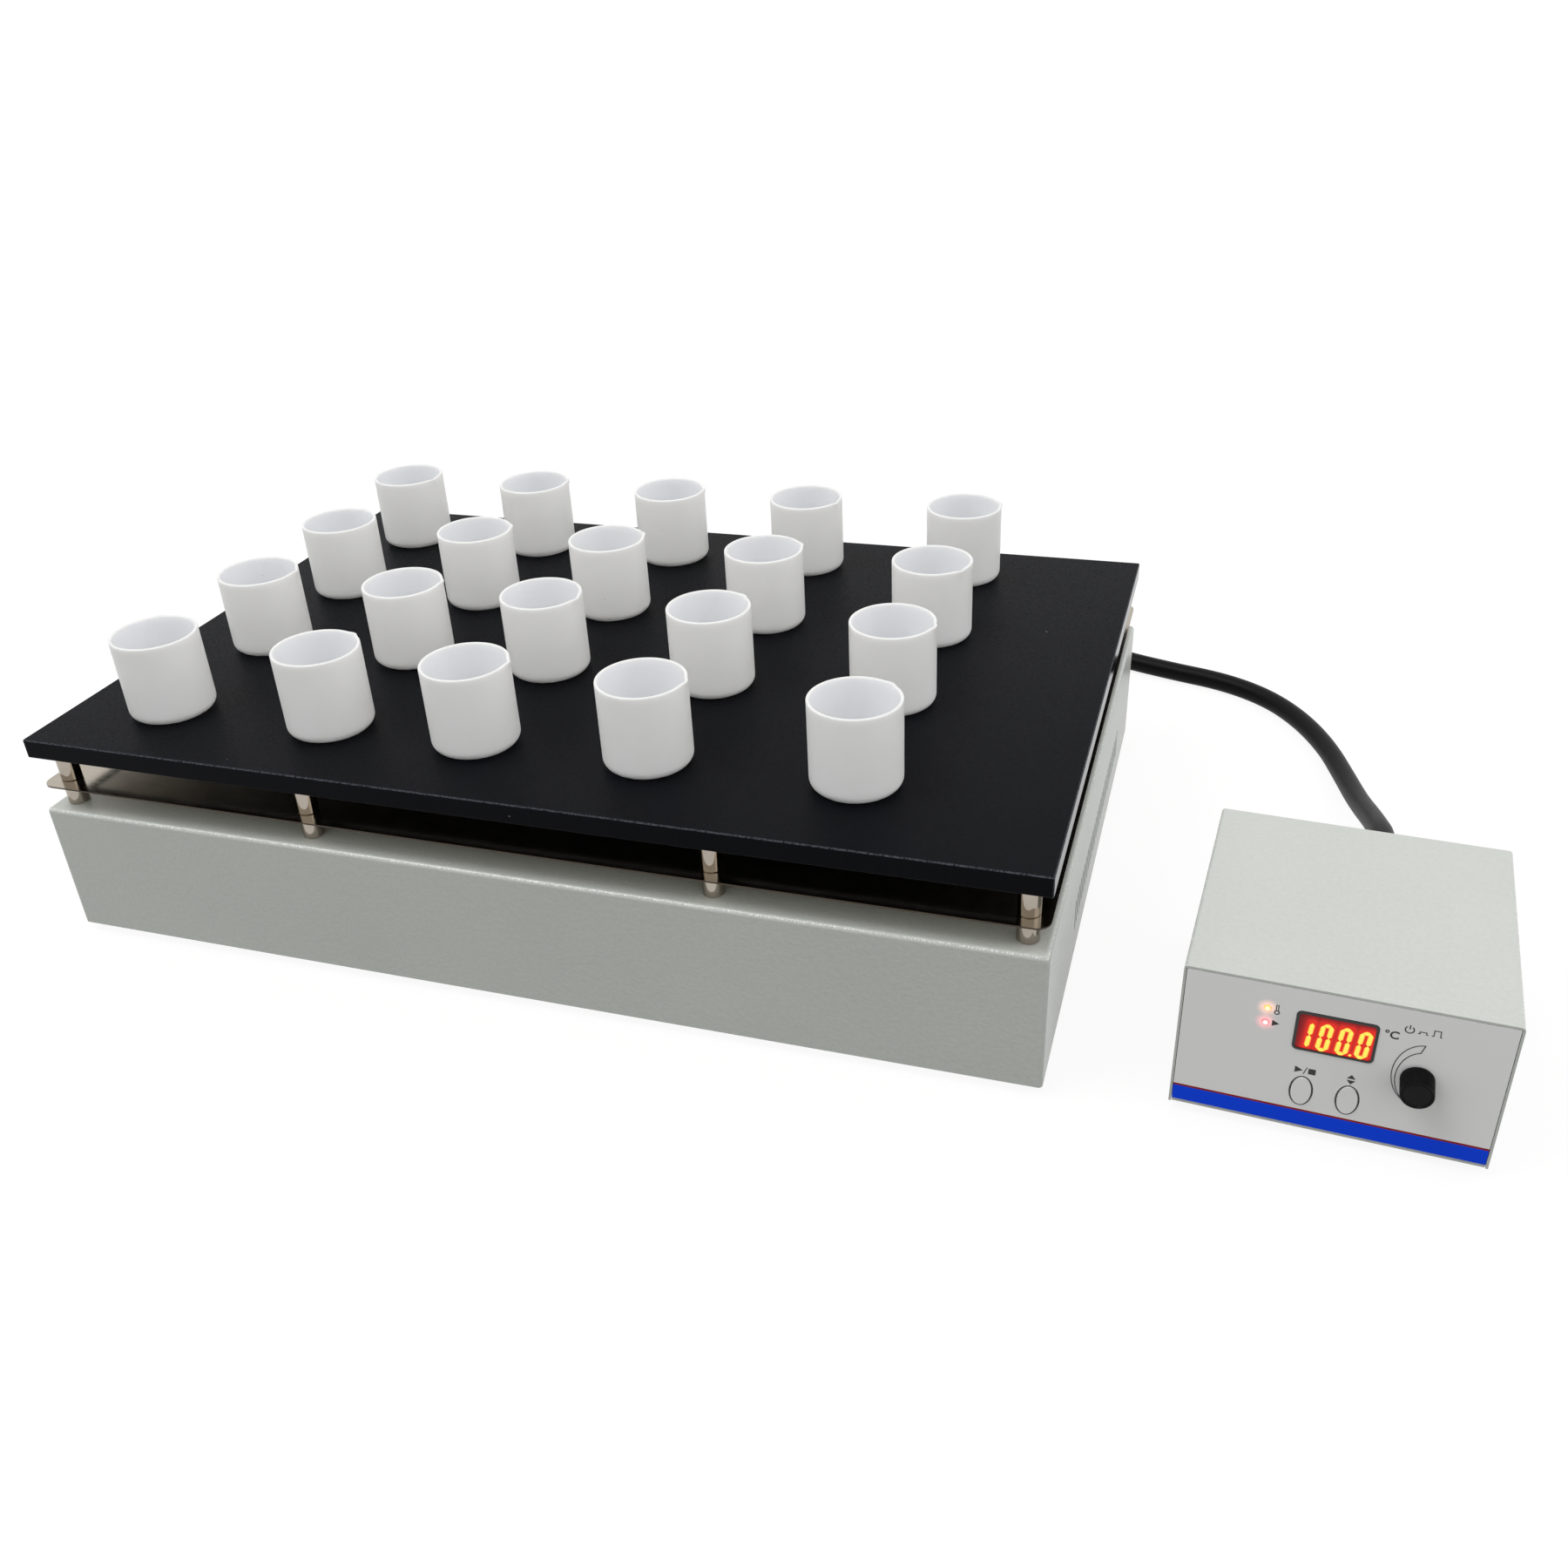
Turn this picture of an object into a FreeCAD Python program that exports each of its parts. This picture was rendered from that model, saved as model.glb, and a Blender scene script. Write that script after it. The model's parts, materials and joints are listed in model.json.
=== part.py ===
import FreeCAD, Part
import math
import os

import Sketcher

# Dry block heater: a hot plate on a low steel case, a set of PTFE cups and a wired control box.
# Millimetres, +Z up. The origin is on the table, under the middle of the heater and its control box.
# The heater's pieces are drawn about the middle of its plate, those of the control box about its own
# middle, with the table at zero, and each group is then moved to its place beside the other.

doc = FreeCAD.newDocument("dry_block_heater")
sheet = doc.addObject("Spreadsheet::Sheet", "dims")

DIMENSIONS = {
    # hot plate, shield and case
    "foot_height": 6, "plate_length": 600, "plate_width": 400, "plate_thick": 12, "plate_chamfer": 0.7,
    "shield_inset": 1, "shield_thick": 1, "shield_corner": 8,
    "case_height": 83, "case_wall": 1.5, "case_bend": 2.5,
    "lower_gap": 15, "upper_gap": 19, "post_radius": 6, "post_inset_x": 13, "post_inset_y": 14,
    "post_inner_x": 122,
    "stud_radius": 3, "stud_fit": 0.05, "stud_hole_fit": 0.25, "stud_depth": 8, "stud_end": 3,
    "nut_flats": 10, "nut_thick": 5,
    "vent_count": 28, "vent_pitch": 7.6, "vent_width": 3.2, "vent_height": 20, "vent_middle": 15,
    "vent_level": 31, "bottom_thick": 2, "bottom_fit": 0.2, "foot_radius": 12, "foot_inset": 38,
    # heating element under the plate
    "element_inset_x": 20, "element_inset_y": 30, "element_thick": 3, "clamp_border": 4, "clamp_thick": 2,
    "clamp_screw_radius": 2.5, "clamp_screw_x": 240, "clamp_screw_y": 130, "clamp_screw_depth": 6,
    "clamp_head_radius": 4.25, "clamp_head": 5, "screw_fit": 0.2,
    "probe_length": 40, "probe_width": 10, "probe_thick": 5, "cutout_radius": 8, "cutout_height": 9,
    "cutout_plate": 28, "cutout_plate_thick": 1, "cutout_x": -100, "cutout_y": 60,
    "sleeve_radius": 7, "sleeve_bore": 5.5, "sleeve_x": 100, "sleeve_y": 60, "sleeve_below": 15,
    "sleeve_fit": 0.2,
    "relay_length": 58, "relay_width": 45, "relay_height": 28, "relay_x": 60, "electrics_rear": 80,
    "relay_terminal": 9, "strip_length": 62, "strip_width": 22, "strip_height": 20, "strip_x": 150,
    "strip_slot": 8, "strip_pitch": 12, "strip_slot_depth": 9,
    # cups
    "cup_radius": 25, "cup_height": 50.4, "cup_wall": 1.8, "cup_floor": 2.6, "cup_round": 5.5,
    "cup_rim": 0.5, "cup_column_1": -232, "cup_column_2": -128, "cup_column_3": -32, "cup_column_4": 73,
    "cup_column_5": 185, "cup_row_1": -140, "cup_row_2": -43, "cup_row_3": 51, "cup_row_4": 150,
    "cup_drift": 0.02, "cup_1_1_shift": -3.5, "cup_1_2_shift": 1, "cup_1_3_shift": -1.5,
    "cup_1_4_shift": -2.5, "cup_1_5_shift": 2, "cup_2_3_shift": -2, "cup_2_5_shift": -2,
    "cup_3_4_shift": 3, "cup_4_1_shift": -3, "cup_4_2_shift": -4, "cup_4_3_shift": 5.5,
    "cup_4_4_shift": 1.5,
    # control box
    "box_gap": 62.25, "box_setback": 122, "box_yaw": -3.8, "box_width": 147.5, "box_depth": 150,
    "box_height": 85, "box_sheet": 1.2, "box_fit": 0.3, "box_bend": 2, "box_flange": 14,
    "box_foot_radius": 8, "box_foot_inset": 16,
    "cover_screw_radius": 1.5, "cover_screw_head": 2.9, "cover_screw_head_thick": 1.6,
    "cover_screw_length": 6, "cover_screw_level": 8, "cover_screw_y": 52,
    "overlay_thick": 0.6, "overlay_lip": 2.2,
    "display_x": -2.6, "display_level": 60, "display_width": 36.3, "display_height": 22.9,
    "display_corner": 2.4, "display_fit": 0.1, "display_proud": 0.5, "module_margin": 2.2,
    "window_thick": 3.1,
    "lamp_x": -34, "lamp_upper": 69.4, "lamp_lower": 61, "lamp_radius": 1.6, "lamp_fit": 0.1,
    "lamp_proud": 0.2,
    "key_half_width": 4.6, "key_half_height": 8.2, "key_level": 23.8, "start_key_x": -13.2,
    "set_key_x": 7.8, "key_fit": 0.3, "key_proud": 0.5, "key_back_gap": 0.2, "key_flange": 1,
    "key_flange_thick": 1, "key_stem_radius": 2, "key_switch_gap": 0.8, "key_switch_size": 6,
    "key_switch_thick": 3.5,
    "board_gap": 12, "board_width": 128, "board_height": 74, "board_thick": 1.6, "standoff_radius": 3,
    "standoff_inset": 5,
    "knob_x": 35.4, "knob_level": 46, "knob_radius": 7.6, "knob_length": 12.4, "knob_gap": 1.4,
    "knob_chamfer": 0.5, "knob_dish": 0.6, "knob_dish_rim": 1.4, "knob_recess_radius": 5.4,
    "knob_recess": 3.2, "knob_roof": 2.4, "spindle_radius": 3, "spindle_fit": 0.05, "spindle_seat": 0.02,
    "bush_radius": 4.5, "bush_fit": 0.2, "bush_out": 2.4, "encoder_size": 15, "spindle_in": 5,
    "plunger_length": 3, "plunger_room": 1.5,
    "inlet_x": -32, "inlet_level": 42, "inlet_width": 27, "inlet_height": 20, "inlet_depth": 20,
    "inlet_flange": 2, "inlet_flange_thick": 3, "inlet_wall": 1.5, "inlet_cavity": 15, "inlet_fit": 0.2,
    "pin_width": 2, "pin_height": 4, "pin_length": 9, "pin_spread": 7, "pin_rise": 2,
    "core_length": 42, "core_width": 16, "core_height": 36, "coil_length": 28, "coil_width": 34,
    "coil_height": 22, "transformer_x": -28, "transformer_y": 26,
    # linking cable and its glands
    "cable_radius": 7, "cable_lead": 39, "gland_thread": 10, "gland_fit": 0.1, "gland_in": 9, "gland_hex": 13,
    "gland_flange": 6, "gland_neck": 10.5, "gland_tip": 8.2, "gland_relief": 26, "locknut_flats": 26,
    "locknut_thick": 4, "base_gland_x": 140, "base_gland_level": 44, "box_gland_x": 17,
    "box_gland_level": 38,
}

for row, (alias, number) in enumerate(DIMENSIONS.items(), start=1):
    sheet.set(f"A{row}", alias)
    sheet.set(f"B{row}", str(number))
    sheet.setAlias(f"B{row}", alias)
doc.recompute()

# Levels and faces that several pieces share
CASE_TOP = "(dims.foot_height + dims.case_height)"
SHIELD_BOTTOM = f"({CASE_TOP} + dims.lower_gap)"
SHIELD_TOP = f"({SHIELD_BOTTOM} + dims.shield_thick)"
PLATE_BOTTOM = f"({SHIELD_TOP} + dims.upper_gap)"
PLATE_TOP = f"({PLATE_BOTTOM} + dims.plate_thick)"
CLAMP_TOP = f"({PLATE_BOTTOM} - dims.element_thick)"
CLAMP_BOTTOM = f"({CLAMP_TOP} - dims.clamp_thick)"
FLOOR_TOP = "(dims.foot_height + dims.bottom_thick)"
BOX_FLOOR = "(dims.foot_height + dims.box_sheet)"
PANEL_FRONT = "(-dims.box_depth / 2)"
PANEL_OUTER = f"({PANEL_FRONT} + dims.overlay_thick)"
PANEL_INNER = f"({PANEL_OUTER} + dims.box_sheet)"
BOARD_FRONT = f"({PANEL_INNER} + dims.board_gap)"
REAR_OUTER = "(dims.box_depth / 2 - dims.overlay_thick)"
REAR_INNER = f"({REAR_OUTER} - dims.box_sheet)"
CHASSIS_WIDTH = "(dims.box_width - 2 * dims.box_sheet - 2 * dims.box_fit)"
CHASSIS_TOP = "(dims.foot_height + dims.box_height - dims.box_sheet - dims.box_fit)"

# Places of the heater and of the control box
BOX_REACH = "((dims.box_width * cos(dims.box_yaw) + dims.box_depth * abs(sin(dims.box_yaw))) / 2)"
HEATER_X = f"(-dims.box_gap / 2 - {BOX_REACH})"
HEATER_Y = "(dims.knob_length / 2)"
BOX_X = "((dims.plate_length + dims.box_gap) / 2)"
BOX_Y = f"({HEATER_Y} - dims.box_setback)"
UPRIGHT = "rotation(vector(0; 0; 1); 0)"
TURNS = {
    "z": UPRIGHT,
    "x": "rotation(vector(0; 1; 0); 90)",
    "-x": "rotation(vector(0; 1; 0); -90)",
    "y": "rotation(vector(1; 0; 0); -90)",
    "-y": "rotation(vector(1; 0; 0); 90)",
}
TABLE = f"placement(vector(0; 0; 0); {UPRIGHT})"
HEATER = f"placement(vector({HEATER_X}; {HEATER_Y}; 0); {UPRIGHT})"
BOX = f"placement(vector({BOX_X}; {BOX_Y}; 0); rotation(vector(0; 0; 1); dims.box_yaw))"

places = {}
subparts = []


def value(text):
    """The number that an expression on the sheet's cells gives."""
    return float(sheet.evalExpression(str(text)))


def dim(alias):
    """A cell of the sheet as a number."""
    return value(f"dims.{alias}")


def put(obj, at, turn=UPRIGHT):
    """Bind an object's own place."""
    places[obj.Name] = f"placement(vector({at[0]}; {at[1]}; {at[2]}); {turn})"
    obj.setExpression("Placement", places[obj.Name])
    return obj


def solid(kind, name, at, turn=UPRIGHT, **sizes):
    """A Part primitive with its sizes and place bound to the sheet."""
    obj = doc.addObject(kind, name)
    for prop, text in sizes.items():
        obj.setExpression(prop, str(text))
    return put(obj, at, turn)


def block(name, size, middle, low):
    """A box with its middle over a point and its lowest face at a level."""
    corner = (f"{middle[0]} - ({size[0]}) / 2", f"{middle[1]} - ({size[1]}) / 2", low)
    return solid("Part::Box", name, corner, Length=size[0], Width=size[1], Height=size[2])


def slab(name, width, height, middle, front, thick):
    """A box that stands upright: its middle is given across and up, its front face along Y."""
    corner = (f"{middle[0]} - ({width}) / 2", front, f"{middle[1]} - ({height}) / 2")
    return solid("Part::Box", name, corner, Length=width, Width=thick, Height=height)


def rod(name, radius, length, start, along="z"):
    """A cylinder from a point along an axis."""
    return solid("Part::Cylinder", name, start, TURNS[along], Radius=radius, Height=length)


def hexagon(name, flats, length, start, along="z"):
    """A hexagonal bar, sized across its flats."""
    bar = solid("Part::Prism", name, start, TURNS[along], Circumradius=f"({flats}) / sqrt(3)", Height=length)
    bar.Polygon = 6
    return bar


def oval(name, half_width, half_height, centre, thick):
    """An upright elliptic plate behind a point, its thickness along +Y."""
    upright = "rotation(vector(0; 1; 0); -90) * rotation(vector(1; 0; 0); -90)"
    outline = solid("Part::Ellipse", f"{name}_outline", centre, upright,
                    MajorRadius=half_height, MinorRadius=half_width)
    plate = doc.addObject("Part::Extrusion", name)
    plate.Base = outline
    plate.DirMode = "Custom"
    plate.Dir = FreeCAD.Vector(0, 1, 0)
    plate.setExpression("LengthFwd", str(thick))
    plate.Solid = True
    return plate


def group(name, pieces):
    """Several separate solids under one name."""
    obj = doc.addObject("Part::Compound", name)
    obj.Links = pieces
    return obj


def cut(name, base, tools):
    """A solid with other solids taken out of it."""
    obj = doc.addObject("Part::Cut", name)
    obj.Base = base
    obj.Tool = tools[0] if len(tools) == 1 else fuse(f"{name}_tools", tools)
    obj.Refine = False
    return obj


def fuse(name, pieces):
    """Several solids joined into one."""
    obj = doc.addObject("Part::MultiFuse", name)
    obj.Shapes = pieces
    obj.Refine = True
    return obj


def rounded(name, base, radius, chosen):
    """A solid with those edges rounded that a test picks out."""
    doc.recompute()
    obj = doc.addObject("Part::Fillet", name)
    obj.Base = base
    picked = [i for i, edge in enumerate(base.Shape.Edges, start=1) if chosen(edge)]
    obj.Edges = [(i, radius, radius) for i in picked]
    return obj


def runs_along(edge, axis):
    """Whether an edge is a straight line along an axis."""
    ends = edge.Vertexes
    if len(ends) < 2:
        return False
    span = ends[1].Point - ends[0].Point
    return abs(abs(span.getAngle(axis) - math.pi / 2) - math.pi / 2) < 1e-6


def new_sketch(body, role, name):
    """A sketch on one of a body's own origin planes."""
    sketch = body.newObject("Sketcher::SketchObject", name)
    plane = [feature for feature in body.Origin.OriginFeatures if feature.Role == role][0]
    sketch.AttachmentSupport = (plane, "")
    sketch.MapMode = "FlatFace"
    return sketch


def pin_point(sketch, geometry, end, x, y):
    """Hold a point of a sketch at two expressions."""
    for kind, text in (("DistanceX", x), ("DistanceY", y)):
        index = sketch.addConstraint(Sketcher.Constraint(kind, -1, 1, geometry, end, value(text)))
        sketch.setExpression(f"Constraints[{index}]", text)


def polygon(sketch, corners):
    """A closed outline through corners given as expressions."""
    points = [FreeCAD.Vector(value(x), value(y), 0) for x, y in corners]
    count = len(corners)
    first = sketch.GeometryCount
    for i in range(count):
        sketch.addGeometry(Part.LineSegment(points[i], points[(i + 1) % count]))
    for i in range(count):
        following = first + (i + 1) % count
        sketch.addConstraint(Sketcher.Constraint("Coincident", first + i, 2, following, 1))
    for i, (x, y) in enumerate(corners):
        pin_point(sketch, first + i, 1, x, y)


def rectangle(sketch, width, height):
    """An outline centred on the sketch's origin."""
    right, top = f"({width}) / 2", f"({height}) / 2"
    left, low = f"-({width}) / 2", f"-({height}) / 2"
    polygon(sketch, [(left, low), (right, low), (right, top), (left, top)])


def circles(sketch, centres, radius):
    """Equal circles at centres given as expressions."""
    for x, y in centres:
        spot = FreeCAD.Vector(value(x), value(y), 0)
        index = sketch.addGeometry(Part.Circle(spot, FreeCAD.Vector(0, 0, 1), value(radius)))
        pin_point(sketch, index, 3, x, y)
        held = sketch.addConstraint(Sketcher.Constraint("Radius", index, value(radius)))
        sketch.setExpression(f"Constraints[{held}]", radius)


def pad(body, sketch, name, length):
    """Raise a sketch into a solid."""
    feature = body.newObject("PartDesign::Pad", name)
    feature.Profile = sketch
    feature.setExpression("Length", length)
    doc.recompute()
    return feature


def pocket_through(body, sketch, name):
    """Cut a sketch through the whole body, both ways."""
    feature = body.newObject("PartDesign::Pocket", name)
    feature.Profile = sketch
    feature.Type = "ThroughAll"
    feature.SideType = "Symmetric"
    doc.recompute()
    return feature


def pocket_up(body, sketch, name, depth):
    """Cut blind holes upwards from the body's lowest plane."""
    before = body.Shape.Volume
    feature = body.newObject("PartDesign::Pocket", name)
    feature.Profile = sketch
    feature.setExpression("Length", depth)
    feature.Reversed = True
    doc.recompute()
    if body.Shape.Volume >= before:
        raise RuntimeError(f"{name} cut nothing")
    return feature


def subpart(obj, label, frame):
    """Name a finished piece and put it in its group's place."""
    obj.Label = label
    own = places.get(obj.Name)
    obj.setExpression("Placement", f"{frame} * {own}" if own else frame)
    subparts.append(obj)
    return obj


def post_spots():
    """Centres of the eight posts, about the middle of the plate."""
    across = ("(dims.plate_length / 2 - dims.post_inset_x)", "dims.post_inner_x")
    back = "(dims.plate_width / 2 - dims.post_inset_y)"
    return [(f"{sx} * {x}", f"{sy} * {back}") for sy in (-1, 1) for x in across for sx in (-1, 1)]


def clamp_spots():
    """Centres of the screws that hold the heating element up against the plate."""
    signs = [(sx, sy) for sx in (-1, 0, 1) for sy in (-1, 1)]
    return [(f"{sx} * dims.clamp_screw_x", f"{sy} * dims.clamp_screw_y") for sx, sy in signs]


def heating_plate():
    """Thick anodised plate, chamfered all round, with blind threads in its underside."""
    body = doc.addObject("PartDesign::Body", "plate_body")
    outline = new_sketch(body, "XY_Plane", "plate_outline")
    rectangle(outline, "dims.plate_length", "dims.plate_width")
    plate = pad(body, outline, "plate_pad", "dims.plate_thick")
    edges = [f"Edge{i}" for i, edge in enumerate(plate.Shape.Edges, start=1)]
    chamfer = body.newObject("PartDesign::Chamfer", "plate_chamfer_edges")
    chamfer.Base = (plate, edges)
    chamfer.setExpression("Size", "dims.plate_chamfer")
    doc.recompute()
    studs = new_sketch(body, "XY_Plane", "plate_stud_holes")
    circles(studs, post_spots(), "dims.stud_radius + dims.stud_fit")
    pocket_up(body, studs, "plate_stud_pocket", "dims.stud_depth + dims.stud_end")
    screws = new_sketch(body, "XY_Plane", "plate_screw_holes")
    circles(screws, clamp_spots(), "dims.clamp_screw_radius + dims.stud_fit")
    pocket_up(body, screws, "plate_screw_pocket", "dims.clamp_screw_depth + dims.stud_end")
    put(body, ("0", "0", PLATE_BOTTOM))
    subpart(body, "heating_plate", HEATER)


def heat_shield():
    """Thin polished sheet between the plate and the case, with rounded corners."""
    body = doc.addObject("PartDesign::Body", "shield_body")
    outline = new_sketch(body, "XY_Plane", "shield_outline")
    rectangle(outline, "dims.plate_length - 2 * dims.shield_inset",
              "dims.plate_width - 2 * dims.shield_inset")
    sheet_pad = pad(body, outline, "shield_pad", "dims.shield_thick")
    upright = FreeCAD.Vector(0, 0, 1)
    found = enumerate(sheet_pad.Shape.Edges, start=1)
    corners = body.newObject("PartDesign::Fillet", "shield_corners")
    corners.Base = (sheet_pad, [f"Edge{i}" for i, edge in found if runs_along(edge, upright)])
    corners.setExpression("Radius", "dims.shield_corner")
    doc.recompute()
    holes = new_sketch(body, "XY_Plane", "shield_holes")
    circles(holes, post_spots(), "dims.stud_radius + dims.stud_hole_fit")
    circles(holes, [("dims.sleeve_x", "dims.sleeve_y")], "dims.sleeve_radius + dims.sleeve_fit")
    pocket_through(body, holes, "shield_hole_cut")
    put(body, ("0", "0", SHIELD_BOTTOM))
    subpart(body, "heat_shield", HEATER)


def case_shell():
    """Folded steel case, open below, with a row of cooling slots in each side."""
    body = doc.addObject("PartDesign::Body", "case_body")
    outline = new_sketch(body, "XY_Plane", "case_outline")
    rectangle(outline, "dims.plate_length", "dims.plate_width")
    block_pad = pad(body, outline, "case_pad", "dims.case_height")
    height = dim("case_height")
    bends = body.newObject("PartDesign::Fillet", "case_bends")
    found = enumerate(block_pad.Shape.Edges, start=1)
    bends.Base = (block_pad, [f"Edge{i}" for i, e in found if e.BoundBox.ZMax > height / 2])
    bends.setExpression("Radius", "dims.case_bend")
    doc.recompute()
    inside = new_sketch(body, "XY_Plane", "case_inside")
    rectangle(inside, "dims.plate_length - 2 * dims.case_wall", "dims.plate_width - 2 * dims.case_wall")
    pocket_up(body, inside, "case_hollow", "dims.case_height - dims.case_wall")
    top_holes = new_sketch(body, "XY_Plane", "case_top_holes")
    circles(top_holes, post_spots(), "dims.stud_radius + dims.stud_hole_fit")
    circles(top_holes, [("dims.sleeve_x", "dims.sleeve_y")], "dims.sleeve_radius + dims.sleeve_fit")
    pocket_through(body, top_holes, "case_top_cut")
    slot = new_sketch(body, "YZ_Plane", "case_vent")
    first = "dims.vent_middle - (dims.vent_count - 1) * dims.vent_pitch / 2"
    near, far = f"{first} - dims.vent_width / 2", f"{first} + dims.vent_width / 2"
    low, high = "dims.vent_level - dims.vent_height / 2", "dims.vent_level + dims.vent_height / 2"
    polygon(slot, [(near, low), (far, low), (far, high), (near, high)])
    vent = pocket_through(body, slot, "case_vent_cut")
    vents = body.newObject("PartDesign::LinearPattern", "case_vents")
    vents.Originals = [vent]
    y_axis = [feature for feature in body.Origin.OriginFeatures if feature.Role == "Y_Axis"][0]
    vents.Direction = (y_axis, [""])
    vents.setExpression("Length", "(dims.vent_count - 1) * dims.vent_pitch")
    vents.setExpression("Occurrences", "dims.vent_count")
    body.Tip = vents
    put(body, ("0", "0", "dims.foot_height"))
    doc.recompute()
    hole = rod("case_gland_hole", "dims.gland_thread + dims.gland_fit", "3 * dims.case_wall",
               ("dims.base_gland_x", "dims.plate_width / 2 - 2 * dims.case_wall",
                "dims.foot_height + dims.base_gland_level"), "y")
    subpart(cut("case_with_hole", body, [hole]), "case_shell", HEATER)


def case_bottom():
    """Bottom plate inside the case's open side, on four rubber feet."""
    inner = "2 * (dims.case_wall + dims.bottom_fit)"
    size = (f"dims.plate_length - {inner}", f"dims.plate_width - {inner}", "dims.bottom_thick")
    subpart(block("bottom_sheet", size, ("0", "0"), "dims.foot_height"), "base_plate", HEATER)
    feet = []
    for sx in (-1, 1):
        for sy in (-1, 1):
            spot = (f"{sx} * (dims.plate_length / 2 - dims.foot_inset)",
                    f"{sy} * (dims.plate_width / 2 - dims.foot_inset)", "0")
            feet.append(rod(f"base_foot_{len(feet) + 1}", "dims.foot_radius", "dims.foot_height", spot))
    subpart(group("base_foot_set", feet), "base_feet", HEATER)


def posts():
    """Eight posts: a stud, a nut under the case's top, and two spacers with the shield between."""
    lower, upper, studs, nuts = [], [], [], []
    bore = "dims.stud_radius + dims.stud_hole_fit"
    nut_top = f"{CASE_TOP} - dims.case_wall"
    nut_low = f"({nut_top} - dims.nut_thick)"
    stud_low = f"({nut_low} - dims.stud_end)"
    for i, (x, y) in enumerate(post_spots(), start=1):
        for low, length, name, pieces in ((CASE_TOP, "dims.lower_gap", "lower", lower),
                                          (SHIELD_TOP, "dims.upper_gap", "upper", upper)):
            outer = rod(f"{name}_outer_{i}", "dims.post_radius", length, (x, y, low))
            inner = rod(f"{name}_bore_{i}", bore, length, (x, y, low))
            pieces.append(cut(f"{name}_spacer_{i}", outer, [inner]))
        length = f"{PLATE_BOTTOM} + dims.stud_depth - {stud_low}"
        studs.append(rod(f"stud_{i}", "dims.stud_radius", length, (x, y, stud_low)))
        nut = hexagon(f"nut_hex_{i}", "dims.nut_flats", "dims.nut_thick", (x, y, nut_low))
        thread = rod(f"nut_bore_{i}", "dims.stud_radius + dims.stud_fit", "dims.nut_thick", (x, y, nut_low))
        nuts.append(cut(f"nut_{i}", nut, [thread]))
    subpart(group("lower_spacer_set", lower), "lower_spacers", HEATER)
    subpart(group("upper_spacer_set", upper), "upper_spacers", HEATER)
    subpart(group("stud_set", studs), "support_studs", HEATER)
    subpart(group("nut_set", nuts), "stud_nuts", HEATER)


def heating_parts():
    """Flat element held under the plate by a clamp plate, with its probe, cut-out and lead sleeve."""
    length = "dims.plate_length - 2 * dims.element_inset_x"
    width = "dims.plate_width - 2 * dims.element_inset_y"
    through = "dims.clamp_screw_radius + dims.screw_fit"
    element = block("element_slab", (length, width, "dims.element_thick"), ("0", "0"), CLAMP_TOP)
    wider = (f"{length} + 2 * dims.clamp_border", f"{width} + 2 * dims.clamp_border", "dims.clamp_thick")
    clamp = block("clamp_slab", wider, ("0", "0"), CLAMP_BOTTOM)
    element_holes, clamp_holes, screws = [], [], []
    for i, (x, y) in enumerate(clamp_spots(), start=1):
        element_holes.append(rod(f"element_hole_{i}", through, "dims.element_thick", (x, y, CLAMP_TOP)))
        clamp_holes.append(rod(f"clamp_hole_{i}", through, "dims.clamp_thick", (x, y, CLAMP_BOTTOM)))
        shank_length = "dims.clamp_thick + dims.element_thick + dims.clamp_screw_depth"
        shank = rod(f"clamp_shank_{i}", "dims.clamp_screw_radius", shank_length, (x, y, CLAMP_BOTTOM))
        head = rod(f"clamp_head_{i}", "dims.clamp_head_radius", "dims.clamp_head",
                   (x, y, f"{CLAMP_BOTTOM} - dims.clamp_head"))
        screws.append(fuse(f"clamp_screw_{i}", [shank, head]))
    sleeve_spot = ("dims.sleeve_x", "dims.sleeve_y")
    clamp_holes.append(rod("clamp_lead_hole", "dims.sleeve_bore", "dims.clamp_thick",
                           (*sleeve_spot, CLAMP_BOTTOM)))
    subpart(cut("element_drilled", element, element_holes), "heater_element", HEATER)
    subpart(cut("clamp_drilled", clamp, clamp_holes), "clamp_plate", HEATER)
    subpart(group("clamp_screw_set", screws), "clamp_screws", HEATER)

    probe = block("probe_block", ("dims.probe_length", "dims.probe_width", "dims.probe_thick"), ("0", "0"),
                  f"{CLAMP_BOTTOM} - dims.probe_thick")
    subpart(probe, "temperature_probe", HEATER)

    spot = ("dims.cutout_x", "dims.cutout_y")
    tab = block("cutout_tab", ("dims.cutout_plate", "dims.cutout_radius", "dims.cutout_plate_thick"), spot,
                f"{CLAMP_BOTTOM} - dims.cutout_plate_thick")
    can = rod("cutout_can", "dims.cutout_radius", "dims.cutout_height",
              (*spot, f"{CLAMP_BOTTOM} - dims.cutout_height"))
    subpart(fuse("cutout", [tab, can]), "thermal_cutout", HEATER)

    sleeve_low = f"({CASE_TOP} - dims.case_wall - dims.sleeve_below)"
    sleeve_length = f"{CLAMP_BOTTOM} - {sleeve_low}"
    outer = rod("sleeve_outer", "dims.sleeve_radius", sleeve_length, (*sleeve_spot, sleeve_low))
    bore = rod("sleeve_inner", "dims.sleeve_bore", sleeve_length, (*sleeve_spot, sleeve_low))
    subpart(cut("sleeve", outer, [bore]), "lead_sleeve", HEATER)


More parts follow.
